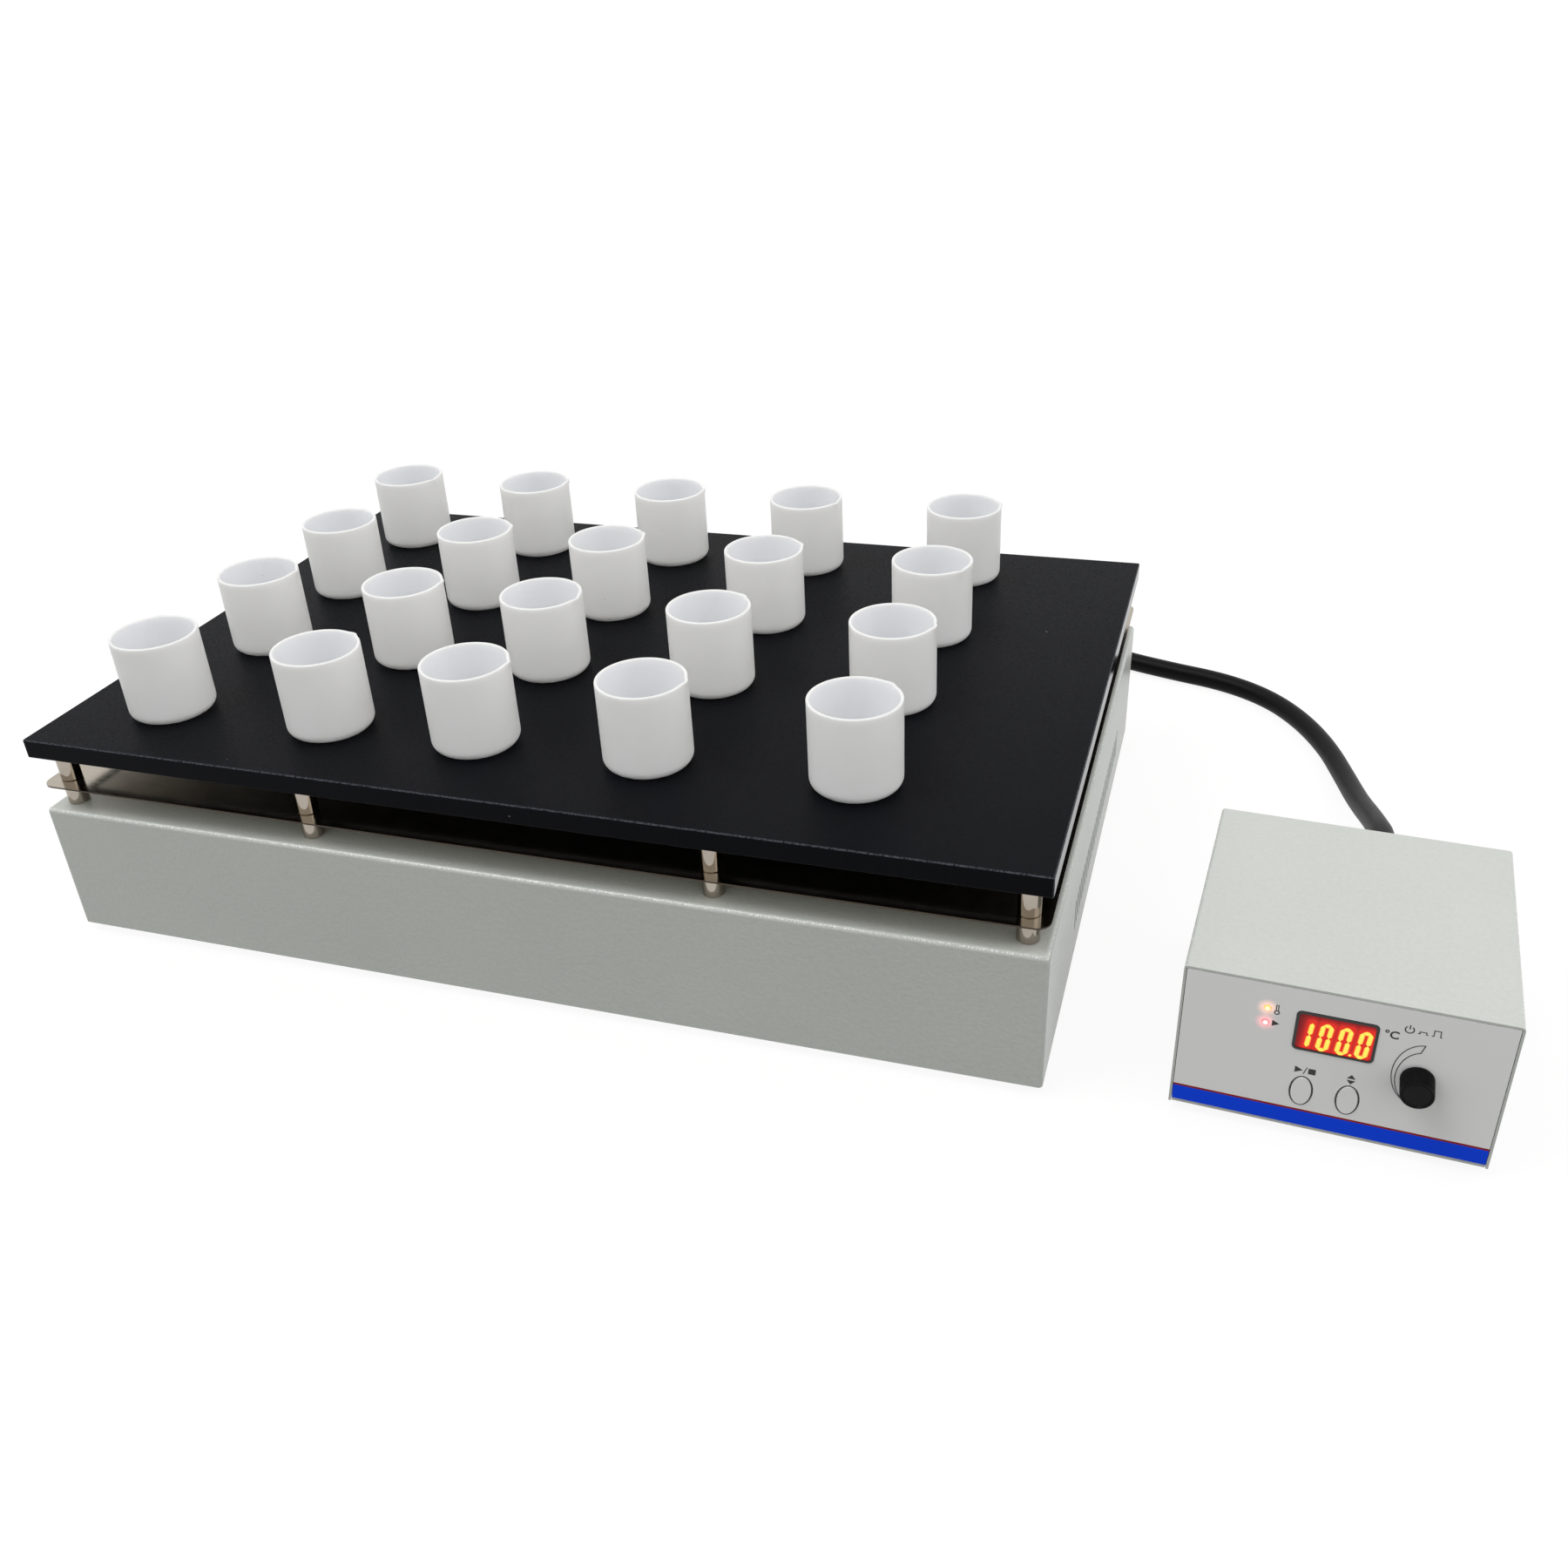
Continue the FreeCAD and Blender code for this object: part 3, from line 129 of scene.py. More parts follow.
def seenDirectly(tree):  # 1 for the rays that show the background itself
    rays = addNode(tree, "ShaderNodeLightPath").outputs
    seen = addNode(tree, "ShaderNodeMath", {0: rays["Is Camera Ray"], 1: rays["Is Glossy Ray"]}, operation="MAXIMUM")
    seen = addNode(tree, "ShaderNodeMath", {0: seen.outputs[0], 1: rays["Is Transmission Ray"]}, operation="MAXIMUM")
    return seen.outputs[0]


def floorLook(tree, place):
    glow = addNode(tree, "ShaderNodeMath", {0: seenDirectly(tree), 1: studio["floorGlow"]}, operation="MULTIPLY")
    return {"Base Color": linear(studio["floorColour"]), "Roughness": studio["floorRough"], "Specular IOR Level": 0.0,
            "Emission Color": white, "Emission Strength": glow.outputs[0]}


def makeStudio():
    scene.world = bpy.data.worlds.new("studioSky")
    scene.world.use_nodes = True
    tree = scene.world.node_tree
    tree.nodes.clear()
    around = addNode(tree, "ShaderNodeTexCoord").outputs["Generated"]
    height = addNode(tree, "ShaderNodeSeparateXYZ", {0: around})
    given = addNode(tree, "ShaderNodeMapRange", {"Value": height.outputs[2], "To Min": studio["horizonLight"],
                                                 "To Max": studio["zenithLight"]})
    strength = addNode(tree, "ShaderNodeMapRange", {"Value": seenDirectly(tree), "To Min": given.outputs[0],
                                                    "To Max": studio["seenWhite"]})
    sky = addNode(tree, "ShaderNodeBackground", {"Color": white, "Strength": strength.outputs[0]})
    addNode(tree, "ShaderNodeOutputWorld", {"Surface": sky.outputs[0]})

    for name in ("keyLight", "fillLight"):
        lamp = bpy.data.lights.new(name, "SUN")
        lamp.energy = studio[name]["power"]
        lamp.angle = math.radians(studio[name]["spread"])
        holder = addObject(name, lamp)
        holder.rotation_euler = Vector(studio[name]["from"]).to_track_quat("Z", "Y").to_euler()

    half = studio["floorSize"] / 2
    mesh = bpy.data.meshes.new("studioFloor")
    mesh.from_pydata([(-half, -half, 0), (half, -half, 0), (half, half, 0), (-half, half, 0)], [], [(0, 1, 2, 3)])
    mesh.materials.append(newMaterial("paleFloorPaper", floorLook))
    floor = addObject("studioFloor", mesh)
    floor.location.z = -studio["floorDrop"] * mm


makeStudio()
print("studio light and floor set")


def grainLook(tree, place, dark, light, patch, grain, depth, rough, shading=()):
    # two tones in patches, and a fine grain in the gloss and the relief; sizes in mm
    patches, grains = (
        addNode(tree, "ShaderNodeTexNoise", {"Vector": place, "Scale": 1 / (size * mm), "Detail": detail})
        for size, detail in ((patch, 4), (grain, 2)))
    tone = addNode(tree, "ShaderNodeMix", {0: patches.outputs["Fac"], 6: linear(dark), 7: linear(light)},
                   data_type="RGBA")
    gloss = addNode(tree, "ShaderNodeMapRange", {
        "Value": grains.outputs["Fac"], "From Min": noiseSpan[0], "From Max": noiseSpan[1],
        "To Min": rough[0], "To Max": rough[1]})
    bump = addNode(tree, "ShaderNodeBump", {"Height": grains.outputs["Fac"], "Distance": depth * mm})
    return {"Base Color": tone.outputs[2], "Roughness": gloss.outputs[0], "Normal": bump.outputs[0], **dict(shading)}


# hidden or small finishes: name, dark, light, patch, grain, depth, rough
bareMetal, dullBlack = {"Metallic": 1.0}, {"Specular IOR Level": 0.1}
grainy = {
    # zinc plate: dull grey with cloudy spangle
    "zinc_sheet": ("zincPlatedSheet", "#8E9194", "#B2B5B7", 9, 0.8, 0.01, (0.3, 0.48), bareMetal),
    # zinc-plated fasteners: finer and a little brighter
    "fastener_steel": ("zincPlatedSteel", "#9A9C9E", "#BFC0C1", 3, 0.5, 0.008, (0.22, 0.4), bareMetal),
    # pressed mica: brown flakes with a pearly gloss
    "mica": ("pressedMica", "#6F6145", "#A89670", 4, 1.2, 0.03, (0.3, 0.55)),
    # phenolic moulding: hard black, faint swirl of filler
    "phenolic": ("blackPhenolic", "#161514", "#24211F", 5, 0.6, 0.01, (0.32, 0.45)),
    # woven glass sleeve: cream, coarse weave
    "glass_sleeve": ("glassFibreSleeve", "#CFC8B2", "#EAE5D6", 3, 0.9, 0.12, (0.6, 0.8)),
    # rubber: deep black with the soft bloom of a moulded skin
    "black_rubber": ("blackRubber", "#070708", "#0E0E0F", 22, 0.9, 0.02, (0.36, 0.48), dullBlack),
    # nylon moulding: black, slightly waxy
    "black_nylon": ("blackNylon", "#0F1011", "#1A1B1C", 8, 0.7, 0.015, (0.35, 0.5)),
    # display block: black moulding with a slight gloss
    "display_block": ("mouldedDisplayBlock", "#101010", "#1C1B1B", 6, 0.6, 0.01, (0.3, 0.42)),
    # solder mask: glossy green over a woven board
    "circuit_board": ("greenSolderMask", "#0B3A1C", "#14502A", 5, 0.7, 0.01, (0.18, 0.3)),
    # stamped steel: plain grey, as it leaves the press
    "encoder_metal": ("stampedSteel", "#8B8C8A", "#ACADA9", 4, 0.6, 0.01, (0.25, 0.4), bareMetal),
    # lacquered laminations: dark grey, uneven varnish
    "iron_core": ("lacqueredLaminations", "#2A2A2C", "#3F3D3B", 7, 0.9, 0.03, (0.35, 0.6)),
    # knob moulding: black with a satin spark finish
    "knob_black": ("blackKnobMoulding", "#040405", "#0A0A0B", 4, 0.35, 0.006, (0.34, 0.46), dullBlack),
}
finishes = {slot: newMaterial(name, grainLook, *given) for slot, (name, *given) in grainy.items()}


def leaningFaces(tree, span):  # 0 on faces square to the axes, 1 where they lean; and the normal's parts
    normal = addNode(tree, "ShaderNodeNewGeometry").outputs["True Normal"]
    facing = addNode(tree, "ShaderNodeVectorMath", {0: normal}, operation="ABSOLUTE")
    parts = addNode(tree, "ShaderNodeSeparateXYZ", {0: facing.outputs[0]}).outputs
    widest = addNode(tree, "ShaderNodeMath", {0: parts[0], 1: parts[1]}, operation="MAXIMUM")
    widest = addNode(tree, "ShaderNodeMath", {0: widest.outputs[0], 1: parts[2]}, operation="MAXIMUM")
    mask = addNode(tree, "ShaderNodeMapRange", {"Value": widest.outputs[0], "From Min": span[0],
                                                "From Max": span[1]})
    return mask.outputs[0], parts



# powder coat: fine sandy orange peel, coarser than real to show, with a painted highlight: pale glints painted along
# the upper bends
powderCoat = {"dark": "#BABEB8", "light": "#CED1CB", "patch": 60, "mottle": 0.65, "rough": (0.38, 0.52),
              "paintedGlint": "#F2F3F0", "paintedGlintRough": 0.18, "glint": 0.8, "glintSpan": (0.5, 0.66),
              "bend": (0.9, 0.8), "upward": (0.3, 0.45), "coat": 0.35, "coatRough": 0.2,
              "peel": 2.4, "peelDepth": 0.18, "sand": 1.1, "sandDepth": 0.03}


def powderCoatLook(tree, place):
    spec = powderCoat
    patches, peel, sand, glint = (
        addNode(tree, "ShaderNodeTexNoise", {"Vector": place, "Scale": 1 / (spec[size] * mm), "Detail": detail})
        for size, detail in (("patch", 3), ("peel", 1), ("sand", 1), ("glint", 1)))
    mottle = addNode(tree, "ShaderNodeMix", {0: spec["mottle"], 2: patches.outputs["Fac"], 3: peel.outputs["Fac"]})
    tone = addNode(tree, "ShaderNodeMix", {0: mottle.outputs[0], 6: linear(spec["dark"]), 7: linear(spec["light"])},
                   data_type="RGBA")
    gloss = addNode(tree, "ShaderNodeMapRange", {
        "Value": peel.outputs["Fac"], "From Min": noiseSpan[0], "From Max": noiseSpan[1],
        "To Min": spec["rough"][0], "To Max": spec["rough"][1]})
    low = addNode(tree, "ShaderNodeBump", {"Height": peel.outputs["Fac"], "Distance": spec["peelDepth"] * mm})
    high = addNode(tree, "ShaderNodeBump", {"Height": sand.outputs["Fac"], "Distance": spec["sandDepth"] * mm,
                                            "Normal": low.outputs[0]})
    # painted highlight: on the upper bends the grains are painted a pale glint colour and made glossier
    leaning, parts = leaningFaces(tree, spec["bend"])
    upper = addNode(tree, "ShaderNodeMapRange", {"Value": parts[2], "From Min": spec["upward"][0],
                                                 "From Max": spec["upward"][1]})
    bend = addNode(tree, "ShaderNodeMath", {0: leaning, 1: upper.outputs[0]}, operation="MULTIPLY")
    grains = addNode(tree, "ShaderNodeMapRange", {"Value": glint.outputs["Fac"], "From Min": spec["glintSpan"][0],
                                                  "From Max": spec["glintSpan"][1]})
    # painted highlight mask: upward-leaning bend faces times the glint grains
    bright = addNode(tree, "ShaderNodeMath", {0: bend.outputs[0], 1: grains.outputs[0]}, operation="MULTIPLY")
    colour = addNode(tree, "ShaderNodeMix", {0: bright.outputs[0], 6: tone.outputs[2], 7: linear(spec["paintedGlint"])},
                     data_type="RGBA")
    shine = addNode(tree, "ShaderNodeMix", {0: bend.outputs[0], 2: gloss.outputs[0], 3: spec["paintedGlintRough"]})
    return {"Base Color": colour.outputs[2], "Roughness": shine.outputs[0], "Normal": high.outputs[0],
            "Coat Weight": spec["coat"], "Coat Roughness": spec["coatRough"], "Coat Normal": low.outputs[0]}


# anodised plate: near black, milled strokes on the edges, the thin chamfer rubbed bright and painted lighter as a
# highlight, a few grains of dust
anodised = {"dark": "#090A0D", "light": "#101116", "rubbedEdgeAndHighlight": "#4A4C52", "milled": "#0E1014", "patch": 45,
            "chamfer": (0.92, 0.8), "fleck": 1.2, "bare": (0.3, 0.62), "stroke": 1.6, "strokeLean": 24,
            "strokeLength": 14, "strokeDepth": 0.02, "cut": (0.45, 0.7), "upright": (0.5, 0.1),
            "dust": 26, "dustSize": 0.5, "dustColour": "#808082", "rough": (0.34, 0.5), "edgeRough": 0.12,
            "specular": 0.035}


def anodisedLook(tree, place):
    spec = anodised
    patches, flecks = (
        addNode(tree, "ShaderNodeTexNoise", {"Vector": place, "Scale": 1 / (spec[size] * mm), "Detail": detail})
        for size, detail in (("patch", 5), ("fleck", 2)))
    tone = addNode(tree, "ShaderNodeMix", {0: patches.outputs["Fac"], 6: linear(spec["dark"]),
                                           7: linear(spec["light"])}, data_type="RGBA")
    lean = addNode(tree, "ShaderNodeMapping", {
        "Vector": place, "Rotation": (0, math.radians(spec["strokeLean"]), 0),
        "Scale": [1 / (spec[size] * mm) for size in ("stroke", "stroke", "strokeLength")]})
    strokes = addNode(tree, "ShaderNodeTexNoise", {"Vector": lean.outputs[0], "Scale": 1.0, "Detail": 2})
    # cutter strokes show on the upright edges only
    rubbedHighlitEdges, parts = leaningFaces(tree, spec["chamfer"])
    upright = addNode(tree, "ShaderNodeMapRange", {"Value": parts[2], "From Min": spec["upright"][0],
                                                   "From Max": spec["upright"][1]})
    cut = addNode(tree, "ShaderNodeMapRange", {"Value": strokes.outputs["Fac"], "From Min": spec["cut"][0],
                                               "From Max": spec["cut"][1]})
    lines = addNode(tree, "ShaderNodeMath", {0: cut.outputs[0], 1: upright.outputs[0]}, operation="MULTIPLY")
    milled = addNode(tree, "ShaderNodeMix", {0: lines.outputs[0], 6: tone.outputs[2], 7: linear(spec["milled"])},
                     data_type="RGBA")
    # the chamfer's faces lean in two directions at once; flat faces don't. The chamfer is painted a lighter grey in
    # patches: partly rubbed anodising, partly a painted highlight
    bare = addNode(tree, "ShaderNodeMapRange", {"Value": flecks.outputs["Fac"], "From Min": spec["bare"][0],
                                                "From Max": spec["bare"][1]})
    patchy = addNode(tree, "ShaderNodeMath", {0: rubbedHighlitEdges, 1: bare.outputs[0]}, operation="MULTIPLY")
    edged = addNode(tree, "ShaderNodeMix", {0: patchy.outputs[0], 6: milled.outputs[2], 7: linear(spec["rubbedEdgeAndHighlight"])},
                    data_type="RGBA")
    # a few grains of dust
    grains = addNode(tree, "ShaderNodeTexVoronoi", {"Vector": place, "Scale": 1 / (spec["dust"] * mm)})
    dusty = addNode(tree, "ShaderNodeMath", {0: grains.outputs["Distance"], 1: spec["dustSize"] / spec["dust"]},
                    operation="LESS_THAN")
    dust = addNode(tree, "ShaderNodeMix", {0: dusty.outputs[0], 6: edged.outputs[2], 7: linear(spec["dustColour"])},
                   data_type="RGBA")
    gloss = addNode(tree, "ShaderNodeMapRange", {
        "Value": strokes.outputs["Fac"], "From Min": noiseSpan[0], "From Max": noiseSpan[1],
        "To Min": spec["rough"][0], "To Max": spec["rough"][1]})
    smoother = addNode(tree, "ShaderNodeMix", {0: upright.outputs[0], 2: gloss.outputs[0], 3: spec["edgeRough"]})
    bump = addNode(tree, "ShaderNodeBump", {"Height": strokes.outputs["Fac"], "Distance": spec["strokeDepth"] * mm})
    return {"Base Color": dust.outputs[2], "Roughness": smoother.outputs[0], "Normal": bump.outputs[0],
            "Specular IOR Level": spec["specular"]}


# polished sheet: mirror with a fine lengthwise brush, the slight waves of thin metal and a dull, brownish sheared rim
stainless = {"dark": "#A49B8C", "light": "#C0B8AB", "sheared": "#4A433B", "brush": 0.6, "brushLength": 60, "wave": 70,
             "waveDepth": 0.25, "rough": (0.1, 0.2), "shearedRough": 0.42, "rimLean": 0.5}


def stainlessLook(tree, place):
    spec = stainless
    along = addNode(tree, "ShaderNodeMapping", {
        "Vector": place, "Scale": [1 / (spec[size] * mm) for size in ("brushLength", "brush", "brush")]})
    brush = addNode(tree, "ShaderNodeTexNoise", {"Vector": along.outputs[0], "Scale": 1.0, "Detail": 3})
    waves = addNode(tree, "ShaderNodeTexNoise", {"Vector": place, "Scale": 1 / (spec["wave"] * mm), "Detail": 1})
    tone = addNode(tree, "ShaderNodeMix", {0: brush.outputs["Fac"], 6: linear(spec["dark"]),
                                           7: linear(spec["light"])}, data_type="RGBA")
    gloss = addNode(tree, "ShaderNodeMapRange", {
        "Value": brush.outputs["Fac"], "From Min": noiseSpan[0], "From Max": noiseSpan[1],
        "To Min": spec["rough"][0], "To Max": spec["rough"][1]})
    bump = addNode(tree, "ShaderNodeBump", {"Height": waves.outputs["Fac"], "Distance": spec["waveDepth"] * mm})
    # the sheared rim is dull and brownish
    normal = addNode(tree, "ShaderNodeNewGeometry").outputs["True Normal"]
    facing = addNode(tree, "ShaderNodeSeparateXYZ", {0: normal})
    level = addNode(tree, "ShaderNodeMath", {0: facing.outputs[2]}, operation="ABSOLUTE")
    rim = addNode(tree, "ShaderNodeMath", {0: level.outputs[0], 1: spec["rimLean"]}, operation="LESS_THAN")
    colour = addNode(tree, "ShaderNodeMix", {0: rim.outputs[0], 6: tone.outputs[2], 7: linear(spec["sheared"])},
                     data_type="RGBA")
    dull = addNode(tree, "ShaderNodeMix", {0: rim.outputs[0], 2: gloss.outputs[0], 3: spec["shearedRough"]})
    return {"Base Color": colour.outputs[2], "Roughness": dull.outputs[0], "Normal": bump.outputs[0], "Metallic": 1.0}


# nickel-plated posts: warm mirror with faint turning rings
nickel = {"dark": "#978E83", "light": "#B7AEA3", "ring": 0.9, "ringWarp": 0.6, "ringDetail": 2, "ringDepth": 0.006,
          "patch": 12, "patchDetail": 3, "rough": (0.06, 0.14)}


def turnedLook(tree, place, spec):  # patches, and the relief of tool rings; the wave's own scale counts in twentieths
    patches = addNode(tree, "ShaderNodeTexNoise", {"Vector": place, "Scale": 1 / (spec["patch"] * mm),
                                                   "Detail": spec["patchDetail"]})
    tone = addNode(tree, "ShaderNodeMix", {0: patches.outputs["Fac"], 6: linear(spec["dark"]),
                                           7: linear(spec["light"])}, data_type="RGBA")
    gloss = addNode(tree, "ShaderNodeMapRange", {
        "Value": patches.outputs["Fac"], "From Min": noiseSpan[0], "From Max": noiseSpan[1],
        "To Min": spec["rough"][0], "To Max": spec["rough"][1]})
    rings = addNode(tree, "ShaderNodeTexWave", {
        "Vector": place, "Scale": 1 / (spec["ring"] * mm) / 20, "Distortion": spec["ringWarp"],
        "Detail": spec["ringDetail"]}, bands_direction="Z")
    bump = addNode(tree, "ShaderNodeBump", {"Height": rings.outputs["Fac"], "Distance": spec["ringDepth"] * mm})
    return patches, {"Base Color": tone.outputs[2], "Roughness": gloss.outputs[0], "Normal": bump.outputs[0]}


def nickelLook(tree, place):
    patches, values = turnedLook(tree, place, nickel)
    return {**values, "Metallic": 1.0}


# turned PTFE: waxy white, a little light goes through, the hollow painted a cooler white as a painted tint of its
# light, faint tool rings, a rare dark speck
ptfe = {"dark": "#F7F3EC", "light": "#FCF9F4", "hollowPaintedCoolDark": "#F4F5F9", "hollowPaintedCoolLight": "#FAFBFE", "patch": 18,
        "patchDetail": 4, "ring": 1.1, "ringWarp": 0.4, "ringDetail": 1, "ringDepth": 0.006, "speck": 17,
        "speckSize": 0.34, "speckColour": "#5A5650", "speckStrength": 0.45, "rough": (0.34, 0.46),
        "ior": 1.38, "through": 0.9, "throughDepth": 6, "throughTint": (1.0, 0.97, 0.94)}


def ptfeLook(tree, place):
    spec = ptfe
    patches, values = turnedLook(tree, place, spec)
    # painted light: the hollow gets a cooler, bluish white than the outside
    paintedCoolHollow = addNode(tree, "ShaderNodeMix", {0: patches.outputs["Fac"], 6: linear(spec["hollowPaintedCoolDark"]),
                                            7: linear(spec["hollowPaintedCoolLight"])}, data_type="RGBA")
    hollow = addNode(tree, "ShaderNodeAttribute", attribute_name="hollow")  # 1 inside the cup
    tone = addNode(tree, "ShaderNodeMix", {0: hollow.outputs["Fac"], 6: values["Base Color"], 7: paintedCoolHollow.outputs[2]},
                   data_type="RGBA")
    specks = addNode(tree, "ShaderNodeTexVoronoi", {"Vector": place, "Scale": 1 / (spec["speck"] * mm)})
    spotted = addNode(tree, "ShaderNodeMath", {0: specks.outputs["Distance"], 1: spec["speckSize"] / spec["speck"]},
                      operation="LESS_THAN")
    faint = addNode(tree, "ShaderNodeMath", {0: spotted.outputs[0], 1: spec["speckStrength"]}, operation="MULTIPLY")
    colour = addNode(tree, "ShaderNodeMix", {0: faint.outputs[0], 6: tone.outputs[2], 7: linear(spec["speckColour"])},
                     data_type="RGBA")
    return {**values, "Base Color": colour.outputs[2], "IOR": spec["ior"], "Subsurface Weight": spec["through"],
            "Subsurface Radius": spec["throughTint"], "Subsurface Scale": spec["throughDepth"] * mm}


finishes["powder_coat"] = newMaterial("paleGreyPowderCoat", powderCoatLook)
finishes["black_anodised"] = newMaterial("blackAnodisedAluminium", anodisedLook)
finishes["polished_stainless"] = newMaterial("polishedStainlessSheet", stainlessLook)
finishes["bright_nickel"] = newMaterial("nickelPlatedSteel", nickelLook)
finishes["white_ptfe"] = newMaterial("turnedWhitePtfe", ptfeLook)
print("metal, paint and PTFE finishes made")


def smoothFaces(mesh, creased=True):
    for face in mesh.polygons:
        face.use_smooth = True
    if creased:
        mesh.set_sharp_from_angle(angle=creaseAngle)


def seatPiece(piece, body, replaced=()):
    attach(piece, body)
    if replaced:
        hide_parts(*replaced)
    return piece


def addPiece(name, form, body, slot, replaced=(), looks=None, smooth=True):  # bmesh to a piece that rides on a body
    bmesh.ops.remove_doubles(form, verts=form.verts, dist=weldGap * mm)
    bmesh.ops.recalc_face_normals(form, faces=form.faces)
    mesh = bpy.data.meshes.new(name)
    form.to_mesh(mesh)
    form.free()
    for look in looks or [finishes[slot]]:
        mesh.materials.append(look)
    if smooth:
        smoothFaces(mesh)
    return seatPiece(addObject(name, mesh), body, replaced)


def evaluatedMesh(item):  # what the modifiers or the text come out as
    graph = bpy.context.evaluated_depsgraph_get()
    return bpy.data.meshes.new_from_object(item.evaluated_get(graph), depsgraph=graph)


def nodeTree(name, inputs):  # empty geometry tree with named inputs
    tree = bpy.data.node_groups.new(name, "GeometryNodeTree")
    tree.interface.new_socket("Geometry", in_out="INPUT", socket_type="NodeSocketGeometry")
    for label, kind in inputs.items():
        tree.interface.new_socket(label, in_out="INPUT", socket_type="NodeSocket" + kind)
    tree.interface.new_socket("Geometry", in_out="OUTPUT", socket_type="NodeSocketGeometry")
    return tree, addNode(tree, "NodeGroupInput").outputs


def closeTree(tree, geometry, given):  # the ending that every tree shares
    real = addNode(tree, "GeometryNodeRealizeInstances", {"Geometry": geometry})
    dressed = addNode(tree, "GeometryNodeSetMaterial", {"Geometry": real.outputs[0], "Material": given["Material"]})
    addNode(tree, "NodeGroupOutput", {0: dressed.outputs[0]})
    return tree


def growPiece(name, tree, values, points=()):  # run a tree with its inputs set, keep the plain mesh
    mesh = bpy.data.meshes.new(name)
    mesh.from_pydata(list(points), [], [])
    piece = addObject(name, mesh)
    modifier = piece.modifiers.new("shape", "NODES")
    modifier.node_group = tree
    for socket in tree.interface.items_tree:
        if socket.in_out == "INPUT" and socket.name in values:
            modifier[socket.identifier] = values[socket.name]
    grown = evaluatedMesh(piece)
    piece.modifiers.clear()
    piece.data = grown
    return piece


def joinLoops(form, loops, capped=True):  # walls between loops of points, and both ends closed
    for near, far in zip(loops, loops[1:]):
        for i in range(len(near)):
            j = (i + 1) % len(near)
            form.faces.new((near[i], near[j], far[j], far[i]))
    if capped:
        form.faces.new(loops[-1])
        form.faces.new(loops[0][::-1])


def turnProfile(form, profile, steps, matrix):  # lathe: (radius, height) in mm turned about the matrix's Z
    rings = []
    for radius, height in profile:
        turns = [math.tau * i / steps for i in range(steps)] if radius > 1e-6 else [0.0]
        rings.append([form.verts.new(matrix @ Vector((radius * math.cos(t), radius * math.sin(t), height)) * mm)
                      for t in turns])
    for low, high in zip(rings, rings[1:]):
        for i in range(steps):
            j = (i + 1) % steps
            corners = [ring[k % len(ring)] for ring, k in ((low, i), (low, j), (high, j), (high, i))]
            form.faces.new(list(dict.fromkeys(corners)))


def ovalPath(centre, half, start=0, stop=360, count=64):  # points round an oval or its arc, angles in degrees
    turns = [math.radians(start + (stop - start) * i / count) for i in range(count + (abs(stop - start) < 360))]
    return [(centre[0] + half[0] * math.cos(t), centre[1] + half[1] * math.sin(t)) for t in turns]


# linking cable: the route's points from the case's gland to the control box's, mm
linkCable = {"diameter": 14, "length": 650, "sides": 8, "steps": 12, "order": 3, "route": [
    (30.317, 238.2, 50), (30.317, 277.2, 50), (46, 312, 39), (81, 337, 25), (127, 339, 12), (171, 323, 7.3),
    (215, 308, 7.2), (256, 297, 7.2), (289, 276, 7.2), (313, 245, 7.2), (331, 206, 7.2), (341.5, 163, 9),
    (348.5, 119, 16), (354, 76, 29), (357.72, 28.16, 44), (355.14, -10.76, 44)]}


def makeCable():
    data = bpy.data.curves.new("linkCable", "CURVE")
    data.dimensions = "3D"
    data.bevel_depth = linkCable["diameter"] / 2 * mm
    data.bevel_resolution = linkCable["sides"]
    data.resolution_u = linkCable["steps"]
    data.use_fill_caps = True
    line = data.splines.new("NURBS")
    line.points.add(len(linkCable["route"]) - 1)
    for point, place in zip(line.points, linkCable["route"]):
        point.co = (*[v * mm for v in place], 1)
    line.order_u = linkCable["order"]
    line.use_endpoint_u = True
    data.materials.append(finishes["black_rubber"])
    return seatPiece(addObject("linkCable", data), "base", ["link_cable"])


cable = makeCable()
print("linking cable laid")

# control box: its own axes, mm; levels on the panel count from the box's lower edge
controlBox = {"centre": (331.125, -115.8), "yaw": -3.8, "front": -75, "rear": 74.4, "lift": 6, "glandAt": (17, 38)}
boxMatrix = Matrix.Translation((*controlBox["centre"], controlBox["lift"])) @ turned(controlBox["yaw"], "Z")
heater = {"centre": (-109.683, 6.2), "rear": 200, "lift": 6, "glandAt": (140, 44)}
heaterMatrix = Matrix.Translation((*heater["centre"], heater["lift"]))

# cable glands: hexagon collar, tapered relief with ribs; a rib's size is a share of its radius
gland = {"hexFlats": 26, "collar": 6, "bevel": 0.8, "sunk": 0.5, "neck": 10.5, "flange": 0.8, "flangeEnd": 1.2,
         "flangeSlope": 0.8, "tip": 8.2, "tipBand": 1.2, "tipSlope": 0.4, "relief": 26, "coreInset": 1.0, "steps": 40,
         "ribs": 9, "ribSize": 0.1, "ribStart": 3.2, "ribRoom": 6, "ribSeat": 0.1, "beadSteps": 10}


